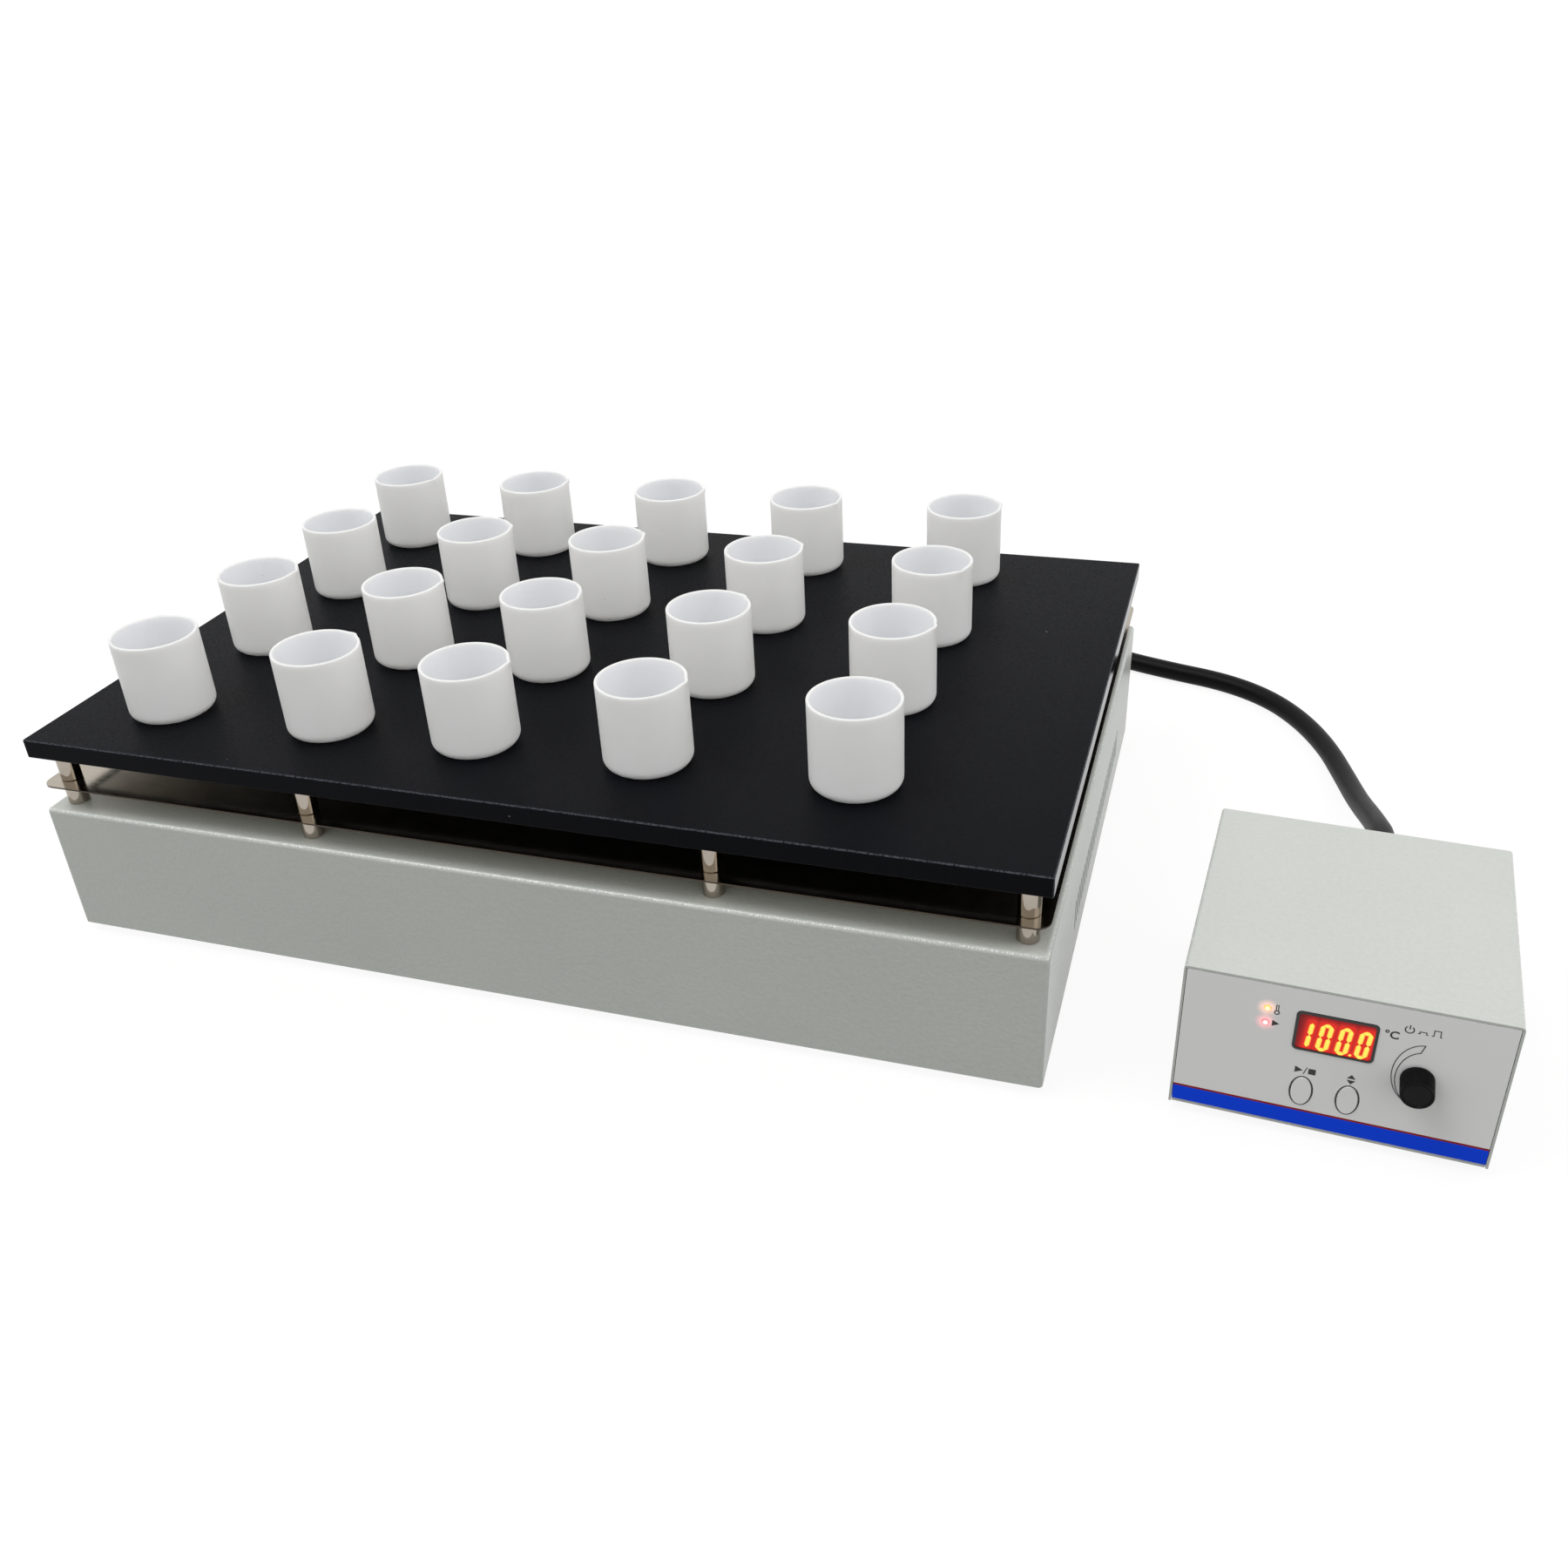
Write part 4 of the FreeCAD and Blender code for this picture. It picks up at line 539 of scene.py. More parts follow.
def ribTree():
    tree, given = nodeTree("reliefRibs", {"Start": "Vector", "Along": "Vector", "Length": "Float", "Ribs": "Int",
                                          "Neck Radius": "Float", "Tip Radius": "Float", "Rib Size": "Float",
                                          "Material": "Material"})
    line = addNode(tree, "GeometryNodeCurvePrimitiveLine", {
        "Start": given["Start"], "Direction": given["Along"], "Length": given["Length"]}, mode="DIRECTION")
    spots = addNode(tree, "GeometryNodeResampleCurve", {"Curve": line.outputs[0], "Count": given["Ribs"]})
    hoop = addNode(tree, "GeometryNodeCurvePrimitiveCircle", {"Resolution": gland["steps"], "Radius": 1.0})
    bead = addNode(tree, "GeometryNodeCurvePrimitiveCircle", {"Resolution": gland["beadSteps"],
                                                              "Radius": given["Rib Size"]})
    rib = addNode(tree, "GeometryNodeCurveToMesh", {"Curve": hoop.outputs[0], "Profile Curve": bead.outputs[0]})
    share = addNode(tree, "GeometryNodeSplineParameter").outputs["Factor"]
    radius = addNode(tree, "ShaderNodeMapRange", {"Value": share, "To Min": given["Neck Radius"],
                                                  "To Max": given["Tip Radius"]})
    turn = addNode(tree, "FunctionNodeAlignRotationToVector", {"Vector": given["Along"]}, axis="Z")
    ribs = addNode(tree, "GeometryNodeInstanceOnPoints", {
        "Points": spots.outputs[0], "Instance": rib.outputs[0], "Rotation": turn.outputs[0],
        "Scale": radius.outputs[0]})
    return closeTree(tree, ribs.outputs[0], given)


def makeGland(name, node, matrix, housing, ribs):
    x, level = housing["glandAt"]
    outward = matrix @ Matrix.Translation((x, housing["rear"], level)) @ turned(-90, "X")
    collar, bevel, neck, tip, core = pick(gland, "collar", "bevel", "neck", "tip", "coreInset")
    form = bmesh.new()
    corner = gland["hexFlats"] / 2 / math.cos(math.radians(30))
    turnProfile(form, [(0, 0), (corner, 0), (corner, collar - bevel), (corner - bevel, collar), (0, collar)],
                6, outward)
    root, flange, end = collar - gland["sunk"], collar + gland["flangeEnd"], collar + gland["relief"]
    wide, band = neck + gland["flange"], end - gland["tipBand"]
    turnProfile(form, [(0, root), (wide, root), (wide, flange), (neck - core, flange + gland["flangeSlope"]),
                       (tip - core, band - gland["tipSlope"]), (tip, band), (tip, end), (0, end)],
                gland["steps"], outward)
    piece = addPiece(name, form, "base", "black_nylon", [node])
    hoops = growPiece(name + "Ribs", ribs, {
        "Start": outward @ Vector((0, 0, collar + gland["ribStart"])) * mm,
        "Along": (outward.to_3x3() @ Vector((0, 0, 1))).normalized(),
        "Length": (gland["relief"] - gland["ribRoom"]) * mm, "Ribs": gland["ribs"],
        "Neck Radius": (neck - core - gland["ribSeat"]) * mm, "Tip Radius": (tip - core + gland["ribSeat"]) * mm,
        "Rib Size": gland["ribSize"], "Material": finishes["black_nylon"]})
    smoothFaces(hoops.data, creased=False)
    return [piece, seatPiece(hoops, "base")]


ribs = ribTree()
glandPieces = makeGland("caseGland", "base_gland", heaterMatrix, heater, ribs)
glandPieces += makeGland("boxGland", "box_gland", boxMatrix, controlBox, ribs)
print("glands made")

# posts: turned rods with broken edges, one set over the heat shield and one under it; places from the plate's middle
posts = {"radius": 6, "edge": 0.5, "across": (-287, -122, 122, 287), "along": (-186, 186), "steps": 56,
         "heatShieldPosts": ("upper_spacers", 105, 124), "casePosts": ("lower_spacers", 89, 104)}


def makePosts():
    radius, edge = posts["radius"], posts["edge"]
    for name in ("heatShieldPosts", "casePosts"):
        node, low, high = posts[name]
        form = bmesh.new()
        for x in posts["across"]:
            for y in posts["along"]:
                spot = (heater["centre"][0] + x, heater["centre"][1] + y, 0)
                turnProfile(form, [(0, low), (radius - edge, low), (radius, low + edge), (radius, high - edge),
                                   (radius - edge, high), (0, high)], posts["steps"], Matrix.Translation(spot))
        addPiece(name, form, "base", "bright_nickel", [node])


makePosts()
print("posts turned")

# cups: turned from PTFE, each with a small pouring lip pinched into its rim
cup = {"radius": 25, "height": 50.4, "wall": 1.8, "floor": 2.6, "round": 5.5, "lipReach": 1.4, "lipDepth": 6,
       "lipWidth": 11, "lipDrop": 0.12, "lipTurn": (10, 35), "sway": 0.12, "steps": 112, "roundSteps": 8,
       "wallSteps": 14, "insideSteps": 12, "bendSteps": 6, "seed": 7}
lipTurns = {"cup_1_1": 118, "cup_1_2": 62, "cup_1_3": 12, "cup_1_4": 4, "cup_1_5": 55}


def cupProfile():  # half the cup's section, from the middle of its foot to the middle of its floor
    radius, wall, height, foot, floor = pick(cup, "radius", "wall", "height", "round", "floor")
    inner, rim, bend = radius - wall, wall / 2, foot - wall
    top, low = height - rim, floor + bend
    profile = [(0, 0), (radius / 2, 0), (radius - foot, 0)]
    profile += ovalPath((radius - foot, foot), (foot, foot), -90, 0, cup["roundSteps"])[1:]
    count = cup["wallSteps"]
    profile += [(radius, foot + (top - foot) * i / count) for i in range(1, count + 1)]
    profile += ovalPath((radius - rim, top), (rim, rim), 0, 180, cup["roundSteps"])[1:]
    count = cup["insideSteps"]
    profile += [(inner, top - (top - low) * i / count) for i in range(1, count + 1)]
    profile += ovalPath((inner - bend, low), (bend, bend), 0, -90, cup["bendSteps"])[1:]
    return profile + [(inner / 2, floor), (0, floor)]


def makeCups():
    dice = random.Random(cup["seed"])
    profile = cupProfile()
    height, slack = cup["height"], 0.01
    inner = cup["radius"] - cup["wall"]
    for name in sorted(n for n in nodes if n.startswith("cup_")):
        lowest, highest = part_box(name)
        centre = Vector(((lowest.x + highest.x) / 2, (lowest.y + highest.y) / 2, lowest.z)) / mm
        turn = dice.uniform(0, math.tau)
        lip = math.radians(lipTurns.get(name, dice.gauss(*cup["lipTurn"])))
        form = bmesh.new()
        turnProfile(form, profile, cup["steps"], Matrix.Translation(centre))
        hollow = form.verts.layers.float.new("hollow")
        for point in form.verts:
            local = point.co / mm - centre
            within = math.hypot(local.x, local.y) < inner + slack and local.z > cup["floor"] - slack
            point[hollow] = 1.0 if within else 0.0
            rise = max(0, (local.z - height + cup["lipDepth"]) / cup["lipDepth"]) ** 2
            angle = math.atan2(local.y, local.x)
            off = math.atan2(math.sin(angle - lip), math.cos(angle - lip))
            pinch = max(0, 1 - (off / math.radians(cup["lipWidth"])) ** 2) ** 2
            out = cup["lipReach"] * rise * pinch + cup["sway"] * local.z / height * math.cos(2 * angle + turn)
            if local.x or local.y:
                drop = cup["lipDrop"] * pinch * rise
                point.co += Vector((math.cos(angle), math.sin(angle), -drop)) * out * mm
        addPiece(name.replace("cup", "sampleCup"), form, name, "white_ptfe", [name])


makeCups()
print("cups turned")

# ink: from just under the film's face to just over it, mm; a corner is drawn out to at most 1 / mitre of the line
inkLayer = {"low": -0.02, "high": 0.05, "mitre": 0.5}


def onPanel(x, level, proud=0.0):  # a point of the front panel, raised towards the viewer
    return boxMatrix @ Vector((x, controlBox["front"] - proud, level)) * mm


def panelAxis(spot):  # at a point of the front panel, with Z towards the viewer
    return boxMatrix @ Matrix.Translation((spot[0], controlBox["front"], spot[1])) @ turned(90, "X")


def panelLoop(form, path, proud):
    return [form.verts.new(onPanel(x, level, proud)) for x, level in path]


def addPlate(form, outline):  # closed outline filled with ink
    joinLoops(form, [panelLoop(form, outline, inkLayer[side]) for side in ("low", "high")])


def addStroke(form, path, width, closed=True):  # line of ink along a path
    points = [Vector(p) for p in path]
    count = len(points)
    low, high = inkLayer["low"], inkLayer["high"]
    rows = []
    for i, point in enumerate(points):
        before = points[i - 1] if closed or i else point - (points[1] - point)
        after = points[(i + 1) % count] if closed or i < count - 1 else point + (point - points[i - 1])
        first, second = (point - before).normalized(), (after - point).normalized()
        mean = (first + second).normalized()
        side = Vector((-mean.y, mean.x)) * width / 2 / max(inkLayer["mitre"], mean.dot(first))
        rows.append([form.verts.new(onPanel(*(point + side * hand), height))
                     for hand, height in ((1, low), (1, high), (-1, high), (-1, low))])
    joinLoops(form, rows + rows[:1] if closed else rows, capped=not closed)


def roundedPath(centre, size, corner, count=8):  # rectangle with round corners
    halfWidth, halfHeight = size[0] / 2 - corner, size[1] / 2 - corner
    path = []
    for sx, sy, start in ((1, 1, 0), (-1, 1, 90), (-1, -1, 180), (1, -1, 270)):
        middle = (centre[0] + sx * halfWidth, centre[1] + sy * halfHeight)
        path += ovalPath(middle, (corner, corner), start, start + 90, count)
    return path


# printed film: pale grey with a fine grain, blue foot and red line, with the two lamps' glow painted round them
film = {"pale": "#F5F5F4", "bright": "#FAFAF9", "patch": 40, "grain": 0.45, "grainDepth": 0.008, "rough": (0.42, 0.55),
        "specular": 0.2, "blue": "#0046F0", "red": "#8E1B12", "blueTop": 17.0, "redTop": 18.2, "glowSpan": (1.2, 6.0),
        "glow": 0.5}
lamps = {"amber": {"spot": (-34, 69.4), "core": "#FFF3C4", "edge": "#FF9A2E", "glow": "#FFB08A"},
         "red": {"spot": (-34, 61), "core": "#FFF4F2", "edge": "#FF4A55", "glow": "#FF6E7A"}}


def filmLook(tree, place, printed):
    patches, grains = (
        addNode(tree, "ShaderNodeTexNoise", {"Vector": place, "Scale": 1 / (film[size] * mm), "Detail": detail})
        for size, detail in (("patch", 3), ("grain", 1)))
    tone = addNode(tree, "ShaderNodeMix", {0: patches.outputs["Fac"], 6: linear(film["pale"]),
                                           7: linear(film["bright"])}, data_type="RGBA")
    gloss = addNode(tree, "ShaderNodeMapRange", {
        "Value": grains.outputs["Fac"], "From Min": noiseSpan[0], "From Max": noiseSpan[1],
        "To Min": film["rough"][0], "To Max": film["rough"][1]})
    bump = addNode(tree, "ShaderNodeBump", {"Height": grains.outputs["Fac"], "Distance": film["grainDepth"] * mm})
    values = {"Base Color": tone.outputs[2], "Roughness": gloss.outputs[0], "Normal": bump.outputs[0],
              "Specular IOR Level": film["specular"]}
    if not printed:
        return values
    colour, glow = values["Base Color"], black
    height = addNode(tree, "ShaderNodeSeparateXYZ", {0: place}).outputs[2]
    for shade in ("red", "blue"):
        below = addNode(tree, "ShaderNodeMath", {0: height, 1: film[shade + "Top"] * mm}, operation="LESS_THAN")
        colour = addNode(tree, "ShaderNodeMix", {0: below.outputs[0], 6: colour, 7: linear(film[shade])},
                         data_type="RGBA").outputs[2]
    # painted light: each lamp's glow is painted onto the film as emission, fading with distance
    for lamp in lamps.values():
        away = addNode(tree, "ShaderNodeVectorMath", {0: place, 1: onPanel(*lamp["spot"])}, operation="DISTANCE")
        near = addNode(tree, "ShaderNodeMapRange", {
            "Value": away.outputs["Value"], "From Min": film["glowSpan"][0] * mm, "From Max": film["glowSpan"][1] * mm,
            "To Min": 1.0, "To Max": 0.0}, interpolation_type="SMOOTHERSTEP")
        light = addNode(tree, "ShaderNodeMix", {0: near.outputs[0], 6: black, 7: linear(lamp["glow"])},
                        data_type="RGBA")
        glow = addNode(tree, "ShaderNodeMix", {0: 1.0, 6: glow, 7: light.outputs[2]}, data_type="RGBA",
                       blend_type="ADD").outputs[2]
    return {**values, "Base Color": colour, "Emission Color": glow, "Emission Strength": film["glow"]}


# black screen ink: flat black, a touch of gloss where it is thick
ink = newMaterial("blackScreenInk", grainLook, "#101012", "#1B1B1D", 2.5, 0.3, 0.003, (0.4, 0.55))
finishes["overlay_print"] = newMaterial("printedPolyesterFilm", filmLook, True)
keyFilm = newMaterial("paleKeyFilm", filmLook, False)

# marks on the panel: rings round the keys, a widening scale at the knob and plain signs
keys = {"spots": {"start": (-13.2, 23.8), "set": (7.8, 23.8)}, "half": (4.6, 8.2), "gap": 0.3, "line": 0.6}
scale = {"outer": (36.5, 47), "outerHalf": (12.4, 17.8), "outerArc": (260, 93), "inner": (36.5, 44.8),
         "innerHalf": (10.6, 15.6), "innerArc": (101, 258), "steps": 48, "line": 0.45}
signs = {"line": 0.55, "thin": 0.44, "size": 1.4, "bulb": 0.75, "bulbDrop": 1.1, "bulbSteps": 20, "ring": 1.35,
         "ringArc": (125, 415), "ringSteps": 28,
         "hot": (-29.6, 69.2), "run": (-29.5, 61.1), "start": (-13.1, 36.4), "set": (7.8, 36.6),
         "power": (27.8, 72.4), "push": (33.6, 71.2)}
# filled signs, in sizes from their spots: go beside a lamp, go and halt over the first key, up and down over the second
plates = (("run", (-1.1, -1.3), (1.3, 0), (-1.1, 1.3)),
          ("start", (-3.2, -1.4), (-0.6, 0), (-3.2, 1.4)),
          ("start", (1.2, -1.2), (3.6, -1.2), (3.6, 1.2), (1.2, 1.2)),
          ("set", (-1.4, 0.35), (1.4, 0.35), (0, 2.1)),
          ("set", (-1.4, -0.35), (0, -2.1), (1.4, -0.35)))
# drawn signs: thermometer's tube, bar between go and halt, power sign's bar, the two steps of a push switch
strokes = (("hot", "thin", (-0.35, -0.4), (-0.35, 1.9), (0.35, 1.9), (0.35, -0.4)),
           ("start", "thin", (-0.3, -1.6), (0.7, 1.6)),
           ("power", "line", (0, 0.2), (0, 1.9)),
           ("push", "thin", (-1.6, 0), (-1, 0), (-1, 0.8), (1, 0.8), (1, 0), (1.6, 0)),
           ("push", "thin", (2.6, 0), (3.2, 0), (3.2, 2.3), (5.2, 2.3), (5.2, 0), (5.8, 0)))
unitMark = {"words": "°C", "spot": (17.6, 65.6), "size": 6.0, "bold": 0.14, "thick": 0.03, "proud": 0.02, "steps": 6}


def shifted(sign, points):
    spot, size = signs[sign], signs["size"]
    return [(spot[0] + x * size, spot[1] + z * size) for x, z in points]


def makeMarks():
    form = bmesh.new()
    for spot in keys["spots"].values():
        half = [v + keys["gap"] + keys["line"] / 2 for v in keys["half"]]
        addStroke(form, ovalPath(spot, half), keys["line"])
    wedge = []
    for edge in ("outer", "inner"):
        wedge += ovalPath(scale[edge], scale[edge + "Half"], *scale[edge + "Arc"], scale["steps"])
    addStroke(form, wedge, scale["line"])
    bulb, ring = ([signs[k] * signs["size"]] * 2 for k in ("bulb", "ring"))
    middle = shifted("hot", [(0, -signs["bulbDrop"])])[0]
    addStroke(form, ovalPath(middle, bulb, count=signs["bulbSteps"]), signs["line"])
    addStroke(form, ovalPath(signs["power"], ring, *signs["ringArc"], signs["ringSteps"]), signs["line"], False)
    for sign, *points in plates:
        addPlate(form, shifted(sign, points))
    for sign, line, *points in strokes:
        addStroke(form, shifted(sign, points), signs[line], False)
    addPiece("panelMarks", form, "base", "overlay_print", looks=[ink], smooth=False)

    words = bpy.data.curves.new("unitMark", "FONT")
    words.body = unitMark["words"]
    words.size, words.offset, words.extrude = (v * mm for v in pick(unitMark, "size", "bold", "thick"))
    words.resolution_u = unitMark["steps"]
    written = addObject("unitMark", words)
    mesh = evaluatedMesh(written)
    bpy.data.objects.remove(written)
    mesh.transform(Matrix.Translation(onPanel(*unitMark["spot"], unitMark["proud"]))
                   @ boxMatrix.to_3x3().to_4x4() @ turned(90, "X"))
    mesh.materials.clear()
    mesh.materials.append(ink)
    seatPiece(addObject("unitMark", mesh), "base")


makeMarks()
print("panel marks printed")

# display: black frame, red window, four seven-segment digits on it; levels count from the panel, bars' from the window
display = {"centre": (-2.6, 60), "size": (36.3, 22.9), "corner": 2.4, "border": 1.3, "innerCorner": 1.36, "proud": 0.5,
           "bevel": 0.2, "sunk": 0.6, "facePlane": 0.05, "tuck": 0.1, "cells": (110, 66), "windowDepth": 1.0,
           "reading": ("bc", "abcdef", "abcdef.", "abcdef"), "left": -19.6, "pitch": 8.6, "low": 49.7,
           "digit": (6.3, 17.0), "stroke": 2.6, "lean": 0.09, "barLevels": (-0.02, 0.08, 0.12), "heart": 0.55,
           "heartCut": 0.25, "tipGlow": 0.9, "dotGap": 1.2, "dotRadii": (0.85, 0.85, 0.4), "dotSteps": 16,
           "glowReach": 3.4, "glowFade": 1.3}
segmentEnds = {"a": ((0, 2), (1, 2)), "b": ((1, 2), (1, 1)), "c": ((1, 1), (1, 0)), "d": ((0, 0), (1, 0)),
               "e": ((0, 1), (0, 0)), "f": ((0, 2), (0, 1)), "g": ((0, 1), (1, 1))}
tones = {"bar": ("#FF2A10", "#FFAE1E", "#FFEF5A", 0.55), "barGlow": 1.0, "barRough": 0.3,
         "window": ("#3C0A0C", "#9A1014", "#F02A1C", 0.5), "windowGlow": 0.85, "windowRough": 0.12,
         "acrylic": ("#1E0405", "#2E0708"), "haze": 5, "ior": 1.49, "specular": 0.2}


def litBarLook(tree, place):  # lit bars: yellow heart, orange to red rim
    core = addNode(tree, "ShaderNodeAttribute", attribute_name="core")
    light = addNode(tree, "ShaderNodeValToRGB", {"Fac": core.outputs["Fac"]})
    stops, (low, middle, high, at) = light.color_ramp.elements, tones["bar"]
    stops[0].color, stops[1].color, stops.new(at).color = linear(low), linear(high), linear(middle)
    return {"Base Color": black, "Emission Color": light.outputs[0], "Emission Strength": tones["barGlow"],
            "Roughness": tones["barRough"]}


def windowLook(tree, place):  # clear dark red acrylic with the digits' glow painted into it as emission
    haze = addNode(tree, "ShaderNodeTexNoise", {"Vector": place, "Scale": 1 / (tones["haze"] * mm), "Detail": 2})
    dark, pale = tones["acrylic"]
    tone = addNode(tree, "ShaderNodeMix", {0: haze.outputs["Fac"], 6: linear(dark), 7: linear(pale)},
                   data_type="RGBA")
    glow = addNode(tree, "ShaderNodeAttribute", attribute_name="glow")
    light = addNode(tree, "ShaderNodeValToRGB", {"Fac": glow.outputs["Fac"]})
    stops, (low, middle, high, at) = light.color_ramp.elements, tones["window"]
    stops[0].color, stops[1].color, stops.new(at).color = linear(low), linear(high), linear(middle)
    return {"Base Color": tone.outputs[2], "Emission Color": light.outputs[0], "Emission Strength": tones["windowGlow"],
            "Roughness": tones["windowRough"], "IOR": tones["ior"], "Specular IOR Level": tones["specular"]}


def litParts():  # the ends of the lit bars and the places of the lit points, on the panel
    width, height = display["digit"]
    inset, low = display["stroke"] / 2, display["low"]
    bars, dots = [], []
    for place, lit in enumerate(display["reading"]):
        left = display["left"] + place * display["pitch"]
        for sign in lit:
            if sign == ".":
                dots.append(Vector((left + width + display["dotGap"], low + inset)))
                continue
            ends = [Vector((left + inset + x * (width - 2 * inset), low + inset + z * (height / 2 - inset)))
                    for x, z in segmentEnds[sign]]
            bars.append([Vector((end.x + display["lean"] * (end.y - low), end.y)) for end in ends])
    return bars, dots


def glowAt(spot, lit):  # painted glow from the nearest lit bar, fading with distance
    nearest = math.inf
    for a, b in lit:
        span = b - a
        share = max(0, min(1, (spot - a).dot(span) / max(span.length_squared, 1e-9)))
        nearest = min(nearest, (spot - a - span * share).length)
    return math.exp(-(max(0, nearest - display["stroke"] / 2) / display["glowReach"]) ** display["glowFade"])


def makeFrame():
    centre, size, proud, sunk = pick(display, "centre", "size", "proud", "sunk")
    outer = roundedPath(centre, size, display["corner"])
    lip = roundedPath(centre, [v - 2 * display["bevel"] for v in size], display["corner"])
    inner = roundedPath(centre, [v - 2 * display["border"] for v in size], display["innerCorner"])
    form = bmesh.new()
    loops = [panelLoop(form, path, level) for path, level in
             ((outer, -sunk), (outer, proud - display["bevel"]), (lip, proud), (inner, proud), (inner, -sunk))]
    joinLoops(form, loops + loops[:1], capped=False)
    addPiece("displayFrame", form, "base", "display_block", ["display_window"])


def makeWindow(lit):  # fine grid whose points carry the digits' painted glow, closed behind
    form = bmesh.new()
    layer = form.verts.layers.float.new("glow")
    wide, high = [v - 2 * (display["border"] - display["tuck"]) for v in display["size"]]
    columns, rows = display["cells"]
    grid = []
    for r in range(rows + 1):
        level = display["centre"][1] + high * (r / rows - 0.5)
        path = [(display["centre"][0] + wide * (c / columns - 0.5), level) for c in range(columns + 1)]
        grid.append(panelLoop(form, path, display["facePlane"]))
        for vert, spot in zip(grid[-1], path):
            vert[layer] = glowAt(Vector(spot), lit)
    for near, far in zip(grid, grid[1:]):
        for c in range(columns):
            form.faces.new((near[c], near[c + 1], far[c + 1], far[c]))
    rim = grid[0][:-1] + [row[-1] for row in grid[:-1]] + grid[-1][:0:-1] + [row[0] for row in grid[:0:-1]]
    backward = boxMatrix.to_3x3() @ Vector((0, display["windowDepth"], 0)) * mm
    back = [form.verts.new(v.co + backward) for v in rim]
    joinLoops(form, [rim, back], capped=False)
    form.faces.new(back)
    looks = [newMaterial("darkRedAcrylic", windowLook)]
    addPiece("displayWindow", form, "base", "red_acrylic", looks=looks, smooth=False)


def makeDigits(bars, dots):
    form = bmesh.new()
    layer = form.verts.layers.float.new("core")
    levels = [display["facePlane"] + v for v in display["barLevels"]]
    half, cores = display["stroke"] / 2, (0.0, 0.0, 1.0)
    for a, b in bars:
        along = (b - a).normalized()
        across = Vector((-along.y, along.x))
        loops = []
        for reach, cut, level, core in zip((half, half, half * display["heart"]), (0, 0, display["heartCut"]), levels,
                                           cores):
            start, stop = a + along * cut, b - along * cut
            loops.append(panelLoop(form, [
                start, start + (along + across) * reach, stop + (across - along) * reach,
                stop, stop - (along + across) * reach, start + (along - across) * reach], level))
            for i, vert in enumerate(loops[-1]):
                vert[layer] = display["tipGlow"] if i in (0, 3) else core  # the bars run into each other at their tips
        joinLoops(form, loops)
    for spot in dots:
        loops = [panelLoop(form, ovalPath(spot, (radius, radius), count=display["dotSteps"]), level)
                 for radius, level in zip(display["dotRadii"], levels)]
        for loop, core in zip(loops, cores):
            for vert in loop:
                vert[layer] = core
        joinLoops(form, loops)
    looks = [newMaterial("litDisplayBar", litBarLook)]
    addPiece("displayDigits", form, "base", "red_acrylic", looks=looks, smooth=False)


bars, dots = litParts()
makeFrame()
makeWindow(bars + [(dot, dot) for dot in dots])
makeDigits(bars, dots)
print("display lit")

# lamps: small domes, bright in the middle
lens = {"radius": 1.6, "taper": 0.05, "sunk": 1.0, "lip": 0.05, "rise": 1.0, "steps": 32, "domeSteps": 6,
        "shine": 0.9, "rough": 0.15}


def lampLook(tree, place, lamp):
    core = addNode(tree, "ShaderNodeAttribute", attribute_name="core")
    tone = addNode(tree, "ShaderNodeMix", {0: core.outputs["Fac"], 6: linear(lamp["edge"]), 7: linear(lamp["core"])},
                   data_type="RGBA").outputs[2]
    return {"Base Color": tone, "Emission Color": tone, "Emission Strength": lens["shine"], "Roughness": lens["rough"]}


def makeLamps():
    for name, lamp in lamps.items():
        form = bmesh.new()
        outward = panelAxis(lamp["spot"])
        dome = [(0, -lens["sunk"]), (lens["radius"] - lens["taper"], -lens["sunk"])]
        dome += ovalPath((0, lens["lip"]), (lens["radius"], lens["rise"]), 0, 90, lens["domeSteps"])
        turnProfile(form, dome, lens["steps"], outward)
        layer = form.verts.layers.float.new("core")
        inward = outward.inverted()
        for vert in form.verts:
            local = inward @ (vert.co / mm)
            vert[layer] = max(0, 1 - (math.hypot(local.x, local.y) / lens["radius"]) ** 2)
        looks = [newMaterial(name + "LampLens", lampLook, lamp)]
        addPiece(name + "Lamp", form, "base", "lamp_lens", ["indicator_lamps"] if name == "amber" else (), looks)


makeLamps()

# knob: moulded black with a fine straight knurl and a spun face; skirt and crown are steps out from the radius and
# up from the base or the top
knob = {"spot": (35.4, 46), "base": 1.4, "radius": 7.6, "length": 12.4, "steps": 64,
        "skirt": ((-0.5, 0), (0, 0.5), (0, 1.6), (-0.3, 1.9)),
        "crown": ((-0.3, -1.5), (-0.1, -1.2), (-0.1, -0.7), (-0.3, -0.25), (-0.8, 0)),
        "faceRadius": 6.1, "faceEdge": 0.3, "dish": 0.5, "faceRise": 0.06,
        "ribs": 56, "ribWidth": 0.5, "ribSides": 6, "ribSeat": -0.28, "ribStart": 1.95, "ribRoom": 3.6}
spunFace = {"dark": "#0B0B0C", "light": "#1A1A1C", "patch": 1.2, "metallic": 0.85, "rough": 0.34, "drawn": 0.85}


def knurlTree():
    tree, given = nodeTree("knobKnurl", {"Ribs": "Int", "Radius": "Float", "Length": "Float", "Rib Width": "Float",
                                         "Material": "Material"})
    ring = addNode(tree, "GeometryNodeMeshCircle", {"Vertices": given["Ribs"], "Radius": given["Radius"]})
    half = addNode(tree, "ShaderNodeMath", {0: given["Rib Width"], 1: 0.5}, operation="MULTIPLY")
    rib = addNode(tree, "GeometryNodeMeshCylinder", {"Vertices": knob["ribSides"], "Radius": half.outputs[0],
                                                     "Depth": given["Length"]})
    ribs = addNode(tree, "GeometryNodeInstanceOnPoints", {"Points": ring.outputs[0], "Instance": rib.outputs[0]})
    return closeTree(tree, ribs.outputs[0], given)


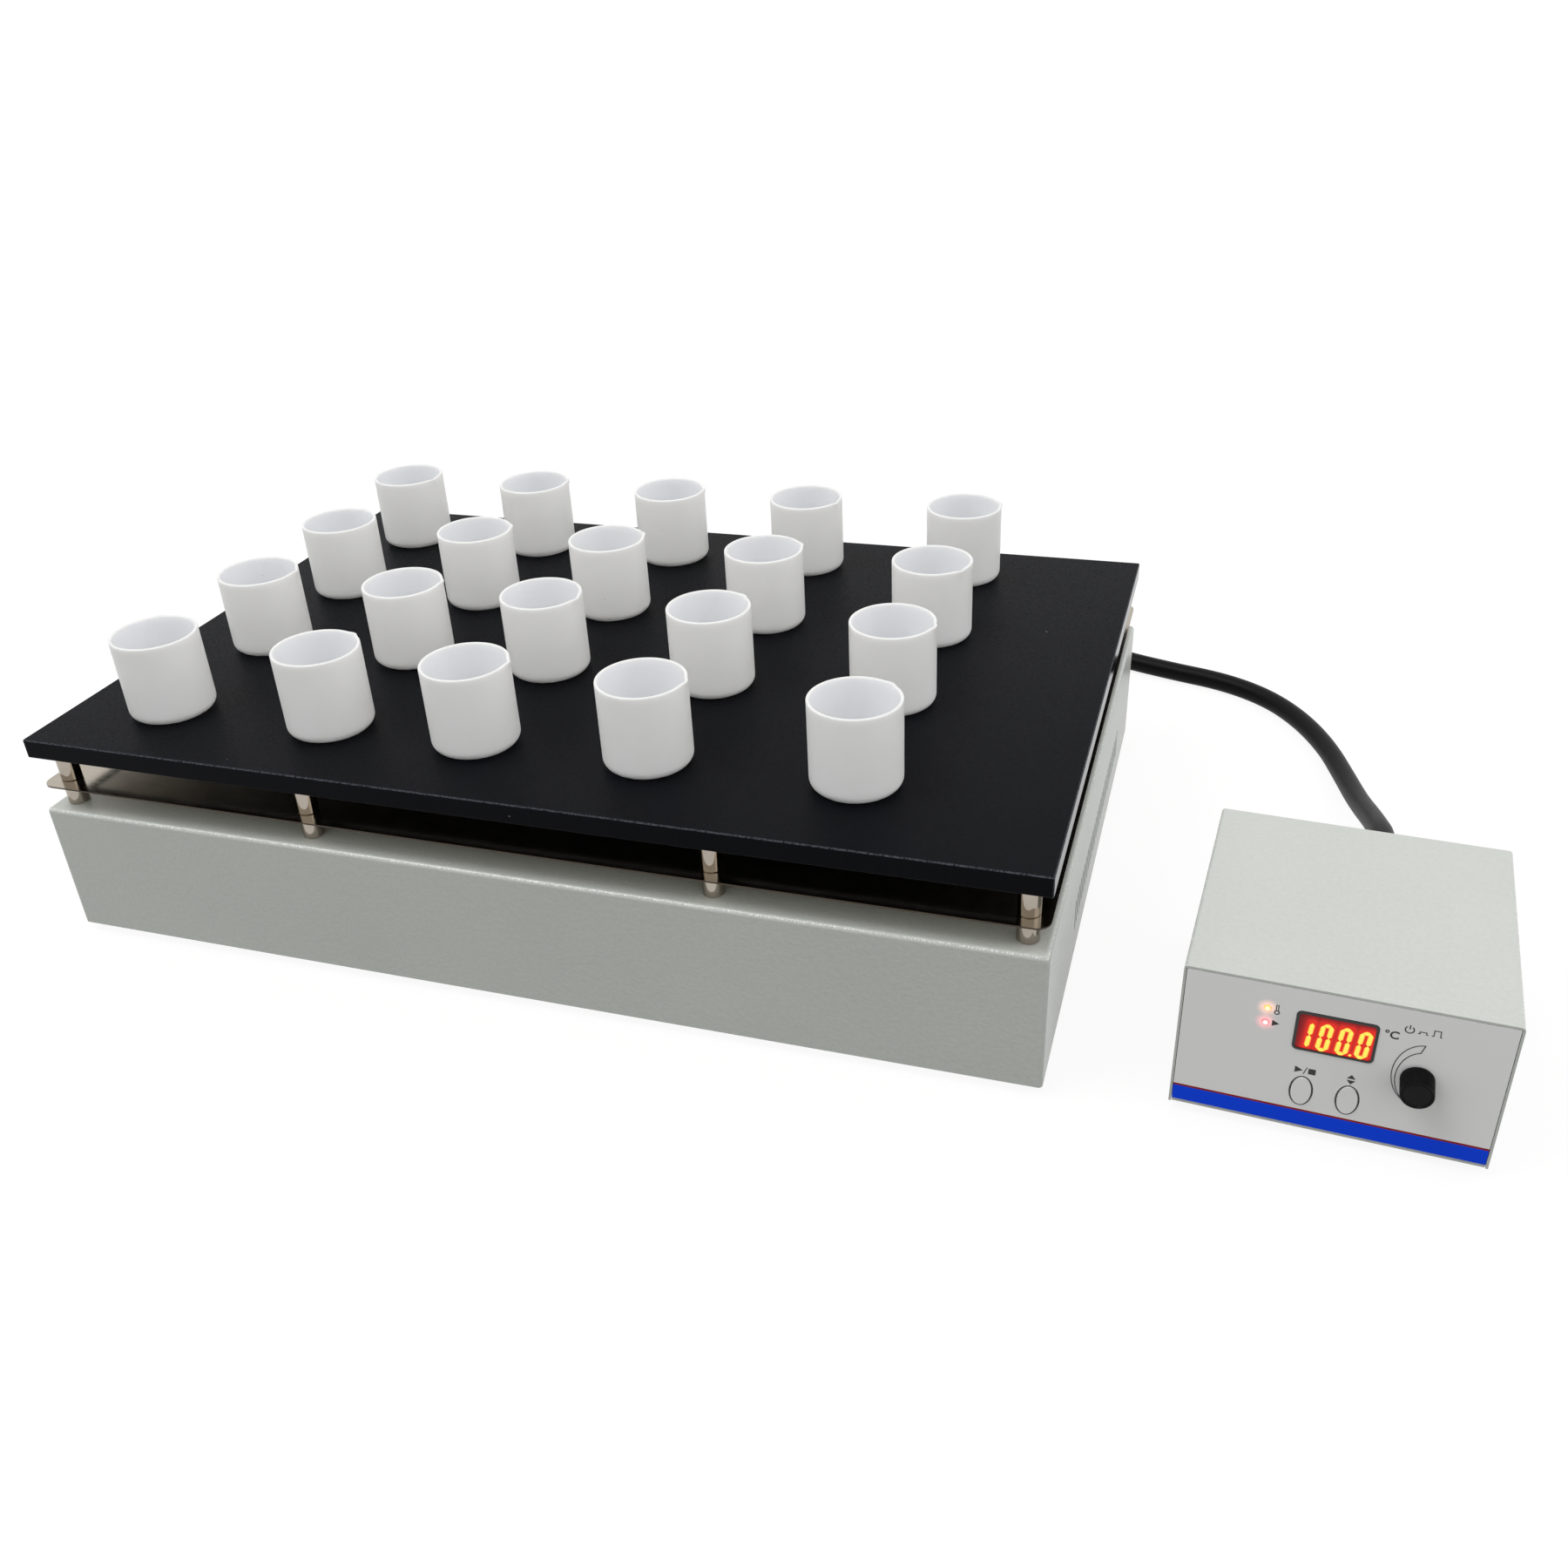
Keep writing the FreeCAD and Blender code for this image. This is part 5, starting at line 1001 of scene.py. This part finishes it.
def spunLook(tree, place):  # spun black aluminium: fine rings that gather the light in two opposite wedges
    patches = addNode(tree, "ShaderNodeTexNoise", {"Vector": place, "Scale": 1 / (spunFace["patch"] * mm), "Detail": 3})
    tone = addNode(tree, "ShaderNodeMix", {0: patches.outputs["Fac"], 6: linear(spunFace["dark"]),
                                           7: linear(spunFace["light"])}, data_type="RGBA")
    tangent = addNode(tree, "ShaderNodeTangent", direction_type="RADIAL", axis="Y")
    return {"Base Color": tone.outputs[2], "Metallic": spunFace["metallic"], "Roughness": spunFace["rough"],
            "Anisotropic": spunFace["drawn"], "Tangent": tangent.outputs[0]}


def makeKnob():
    outward = panelAxis(knob["spot"])
    base, radius, face = knob["base"], knob["radius"], knob["faceRadius"]
    top = base + knob["length"]
    dished = top - knob["dish"]
    profile = [(0, base)] + [(radius + out, base + up) for out, up in knob["skirt"]]
    profile += [(radius + out, top + up) for out, up in knob["crown"]]
    profile += [(face + knob["faceEdge"], top), (face, dished), (face / 2, dished + knob["faceRise"] / 2),
                (0, dished + knob["faceRise"])]
    form = bmesh.new()
    turnProfile(form, profile, knob["steps"], outward)
    inward = outward.inverted()
    for polygon in form.faces:
        spot = inward @ (polygon.calc_center_median() / mm)
        if spot.z > dished - knob["dish"] and math.hypot(spot.x, spot.y) < face:
            polygon.material_index = 1
    looks = [finishes["knob_black"], newMaterial("spunBlackAluminium", spunLook)]
    addPiece("controlKnob", form, "knob", "knob_black", ["control_knob"], looks)
    length = knob["length"] - knob["ribRoom"]
    ribs = growPiece("knobKnurl", knurlTree(), {
        "Ribs": knob["ribs"], "Radius": (radius + knob["ribSeat"]) * mm, "Length": length * mm,
        "Rib Width": knob["ribWidth"] * mm, "Material": finishes["knob_black"]})
    ribs.data.transform(Matrix.Translation(outward.translation * mm) @ outward.to_3x3().to_4x4()
                        @ Matrix.Translation((0, 0, (base + knob["ribStart"] + length / 2) * mm)))
    seatPiece(ribs, "knob")


makeKnob()
print("lamps and knob made")

# pan-head screws that hold the cover on; a slot's reach and depth are shares of the head's radius and height
screw = {"across": 73.75, "along": 52, "level": 8, "radius": 2.9, "height": 0.8, "slot": 0.8, "slotReach": 1.15,
         "slotDepth": 1.2, "segments": 32, "rings": 16}


def screwTree():
    tree, given = nodeTree("panHeadScrews", {"Facing": "Vector", "Radius": "Float", "Height": "Float", "Slot": "Float",
                                             "Material": "Material"})
    radius, height, slot = pick(given, "Radius", "Height", "Slot")
    ball = addNode(tree, "GeometryNodeMeshUVSphere", {"Segments": screw["segments"], "Rings": screw["rings"],
                                                      "Radius": 1.0})
    size = addNode(tree, "ShaderNodeCombineXYZ", {0: radius, 1: radius, 2: height})
    head = addNode(tree, "GeometryNodeTransform", {"Geometry": ball.outputs[0], "Scale": size.outputs[0]})
    length = addNode(tree, "ShaderNodeMath", {0: radius, 1: screw["slotReach"]}, operation="MULTIPLY").outputs[0]
    depth = addNode(tree, "ShaderNodeMath", {0: height, 1: screw["slotDepth"]}, operation="MULTIPLY").outputs[0]
    lift = addNode(tree, "ShaderNodeCombineXYZ", {2: height})
    for wide, deep in ((length, slot), (slot, length)):
        block = addNode(tree, "ShaderNodeCombineXYZ", {0: wide, 1: deep, 2: depth})
        bar = addNode(tree, "GeometryNodeMeshCube", {"Size": block.outputs[0]})
        raised = addNode(tree, "GeometryNodeTransform", {"Geometry": bar.outputs[0], "Translation": lift.outputs[0]})
        head = addNode(tree, "GeometryNodeMeshBoolean", {"Mesh 1": head.outputs[0], "Mesh 2": raised.outputs[0]},
                       operation="DIFFERENCE")
    turn = addNode(tree, "FunctionNodeAlignRotationToVector", {"Vector": given["Facing"]}, axis="Z")
    screws = addNode(tree, "GeometryNodeInstanceOnPoints", {"Points": given["Geometry"], "Instance": head.outputs[0],
                                                            "Rotation": turn.outputs[0]})
    return closeTree(tree, screws.outputs[0], given)


def makeScrews():
    tree = screwTree()
    for side, name in ((-1, "leftCoverScrews"), (1, "rightCoverScrews")):
        spots = [boxMatrix @ Vector((side * screw["across"], end * screw["along"], screw["level"])) * mm
                 for end in (-1, 1)]
        screws = growPiece(name, tree, {
            "Facing": boxMatrix.to_3x3() @ Vector((side, 0, 0)), "Radius": screw["radius"] * mm,
            "Height": screw["height"] * mm, "Slot": screw["slot"] * mm,
            "Material": finishes["fastener_steel"]}, spots)
        smoothFaces(screws.data)
        seatPiece(screws, "base", ["cover_screws"] if side < 0 else ())


makeScrews()
print("cover screws driven")

# mains inlet's pins: bright metal sleeves over the moulded ones; root and tip count from the box's rear wall
pins = {"x": -32, "level": 42, "spread": 7, "rise": 2, "size": (2.2, 4.2), "root": -9, "tip": 0.1, "edge": 0.4}


def makePins():
    form = bmesh.new()
    root, tip, edge = pick(pins, "root", "tip", "edge")
    for across, up in ((-1, -1), (0, 1), (1, -1)):
        x, level = pins["x"] + across * pins["spread"], pins["level"] + up * pins["rise"]
        loops = []
        for inset, along in ((0, root), (0, tip - edge), (edge, tip)):
            wide, high = (v / 2 - inset for v in pins["size"])
            loops.append([form.verts.new(boxMatrix @ Vector((x + sx * wide, controlBox["rear"] + along,
                                                             level + sy * high)) * mm)
                          for sx, sy in ((-1, -1), (1, -1), (1, 1), (-1, 1))])
        joinLoops(form, loops)
    addPiece("inletPins", form, "base", "bright_nickel", smooth=False)


makePins()

# every carried-over solid gets the finish of its slot
finishes["red_acrylic"] = finishes["display_block"]
finishes["lamp_lens"] = finishes["display_block"]
ownFinish = {"start_button": keyFilm, "set_button": keyFilm}
for part in frame["record"]["subparts"]:
    solid = nodes[part["node"]]
    solid.data.materials.clear()
    solid.data.materials.append(ownFinish.get(part["node"], finishes[part["material_slot"]]))
print("solids dressed")
